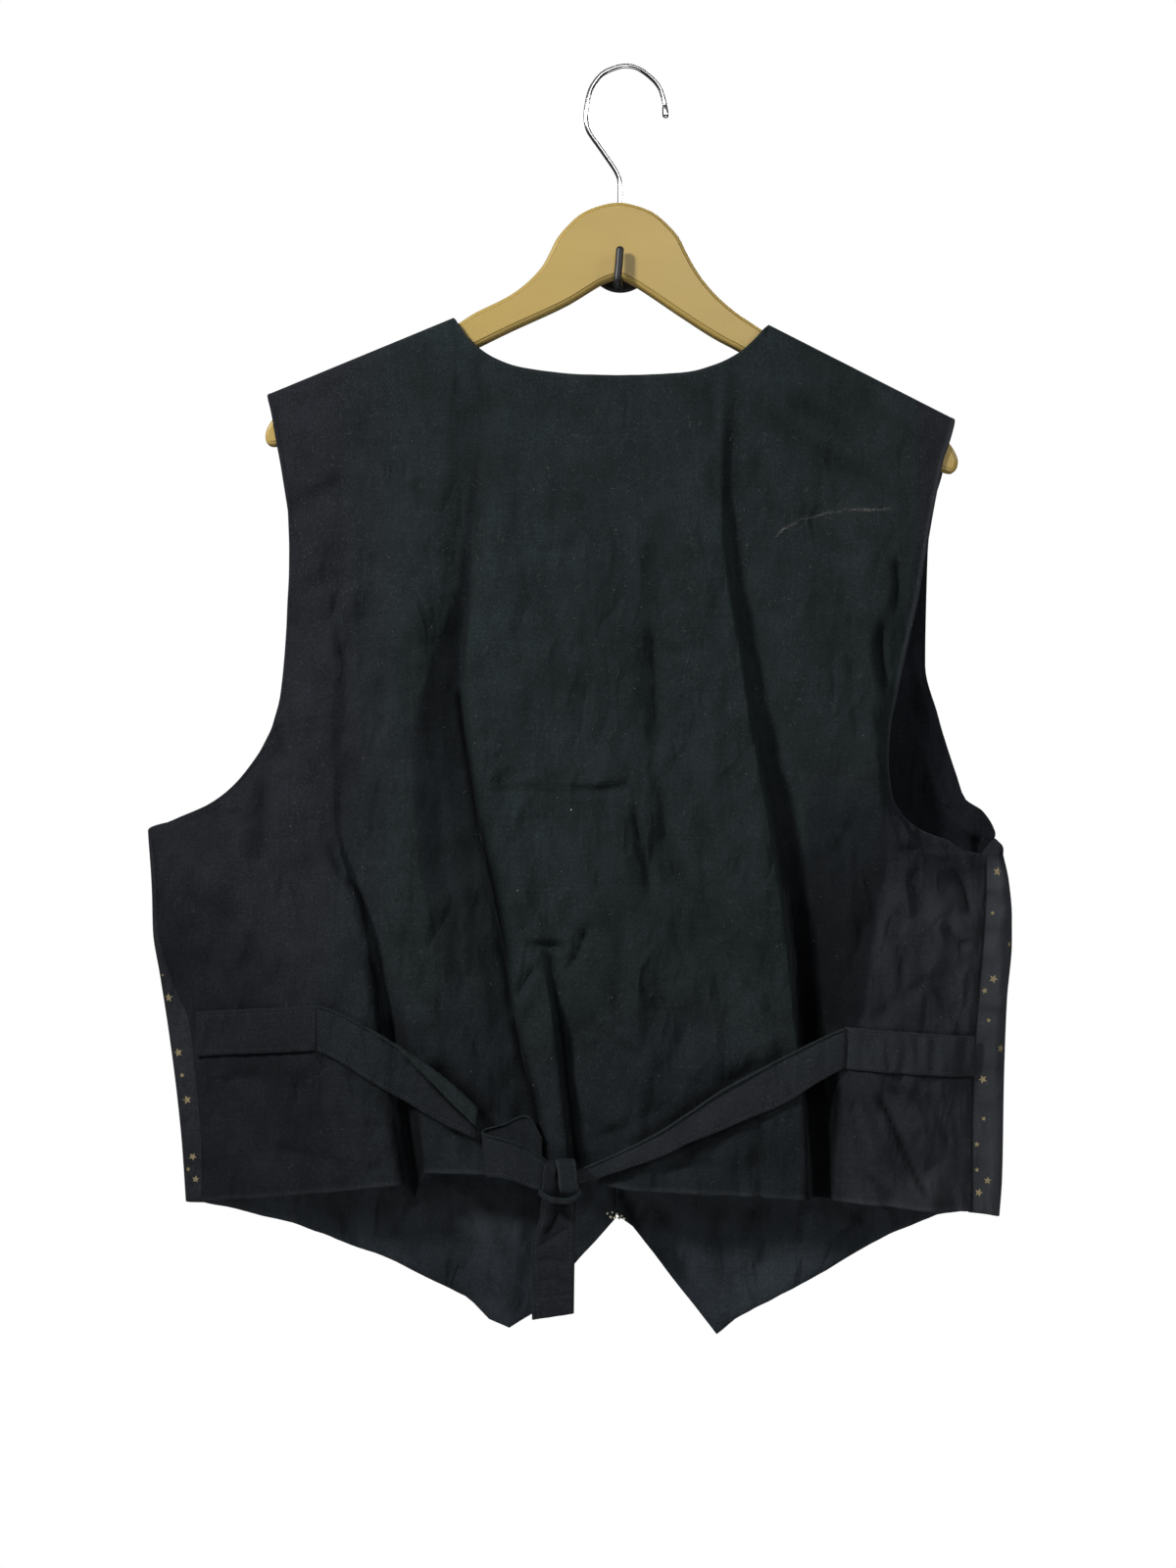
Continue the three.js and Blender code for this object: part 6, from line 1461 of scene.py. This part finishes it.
for k in range(150):
    x, z = (-32, -363) if k == 0 else (-66, -414) if k == 1 else (rng.normal(-10, 110), rng.uniform(-600, -100))
    r = 0.5 if k == 0 else 0.42 if k == 1 else rng.uniform(0.10, 0.22)
    got = hit(BACK_BVH, x, z)
    if got is None or got[0][1] > -38:
        continue
    c = got[0] + np.array([0, -0.12, 0])
    SPECKS.add([c + [r, 0, 0], c - [r, 0, 0], c + [0, r, 0], c - [0, r * 0.6, 0], c + [0, 0, r * 1.2], c - [0, 0, r * 0.8]], OCTA)
specks = SPECKS.mesh("lint_specks", SPECK_MAT)

# ---------------------------------------------------------- light and floor
scene = bpy.context.scene
scene.view_settings.view_transform = 'Standard'
world = bpy.data.worlds.new("studio")
scene.world = world
world.use_nodes = True
wt = world.node_tree
for nd in list(wt.nodes):
    wt.nodes.remove(nd)
w_out = wt.nodes.new('ShaderNodeOutputWorld')
w_mix = wt.nodes.new('ShaderNodeMixShader')
w_path = wt.nodes.new('ShaderNodeLightPath')
w_seen, w_lit = wt.nodes.new('ShaderNodeBackground'), wt.nodes.new('ShaderNodeBackground')
w_seen.inputs['Color'].default_value = (1, 1, 1, 1)
w_seen.inputs['Strength'].default_value = 1.0
w_coord, w_sep, w_ramp = wt.nodes.new('ShaderNodeTexCoord'), wt.nodes.new('ShaderNodeSeparateXYZ'), wt.nodes.new('ShaderNodeValToRGB')
w_map = wt.nodes.new('ShaderNodeMapRange')
w_map.inputs['From Min'].default_value, w_map.inputs['From Max'].default_value = -1.0, 1.0
for (p, c), k in zip([(0.0, 0.18), (0.42, 0.22), (0.55, 0.5), (0.75, 0.85), (1.0, 1.0)], range(5)):
    e = w_ramp.color_ramp.elements
    if k >= len(e):
        e.new(p)
    e[k].position = p
    e[k].color = (c, c, c, 1)
w_lit.inputs['Strength'].default_value = 0.13
wt.links.new(w_coord.outputs['Generated'], w_sep.inputs[0])
wt.links.new(w_sep.outputs['Z'], w_map.inputs['Value'])
wt.links.new(w_map.outputs[0], w_ramp.inputs['Fac'])
wt.links.new(w_ramp.outputs['Color'], w_lit.inputs['Color'])
wt.links.new(w_path.outputs['Is Camera Ray'], w_mix.inputs[0])
wt.links.new(w_lit.outputs[0], w_mix.inputs[1])
wt.links.new(w_seen.outputs[0], w_mix.inputs[2])
wt.links.new(w_mix.outputs[0], w_out.inputs['Surface'])


def area_light(name, at, aim, size, energy, color=(1, 1, 1)):
    data = bpy.data.lights.new(name, 'AREA')
    data.shape, data.size, data.energy, data.color = 'DISK', size, energy, color
    ob = bpy.data.objects.new(name, data)
    ob.location = at
    ob.rotation_euler = (Vector(aim) - Vector(at)).to_track_quat('-Z', 'Y').to_euler()
    bpy.context.collection.objects.link(ob)
    return ob


area_light("key", (-1.05, -1.05, 0.50), (0, -0.05, -0.28), 0.28, 29.0, (1.0, 0.99, 0.97))
area_light("front", (0.3, -1.6, 0.5), (0, -0.05, -0.35), 0.6, 6.5)
area_light("side_right", (1.45, -1.0, 0.5), (0, -0.05, -0.35), 0.3, 6.5, (0.96, 0.98, 1.0))
area_light("low", (0.1, -1.1, -1.35), (0, -0.04, -0.55), 0.6, 3.5)
area_light("behind", (0.3, 1.5, 0.9), (0, 0.0, -0.3), 1.2, 26.0)

floor_mesh = bpy.data.meshes.new("floor")
floor_mesh.from_pydata([(-1.2, -1.3, -1.5), (1.2, -1.3, -1.5), (1.2, 1.1, -1.5), (-1.2, 1.1, -1.5)], [], [(0, 1, 2, 3)])
floor = bpy.data.objects.new("floor", floor_mesh)
bpy.context.collection.objects.link(floor)
floor_mesh.materials.append(plain_detail("pale_floor", (0.80, 0.80, 0.79), 0.75, vary=0.03, scale=3.0, bump=0.02, spec=0.2))

# ---------------------------------------------- what each piece stands for
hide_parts("back_panel")
for key in ('left', 'right'):
    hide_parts("front_" + key)
    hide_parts("lining_" + key)
for name, ob in STRAPS.items():
    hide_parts(name)
for k, ob in enumerate(BUTTONS):
    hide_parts(f"button_{k + 1}")
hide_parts("hanger_body")
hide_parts("hanger_hook")
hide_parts("wall_hook_plate")
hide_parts("wall_hook_prong")

SLOTS = [([back_skin, lint, specks], "back_cloth"), ([SKINS['front_left'], SKINS['front_right'], stars, dots, hole_thread], "front_cloth"),
         ([SKINS['lining_left'], SKINS['lining_right']], "lining_cloth"), (list(STRAPS.values()) + [sewing], "strap_cloth"),
         (BUTTONS + [button_thread], "button"), ([hanger], "hanger"), ([wire], "hook_wire"), ([plate, prong], "wall_hook")]
for obs, slot_name in SLOTS:
    for ob in obs:
        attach(ob, "root")
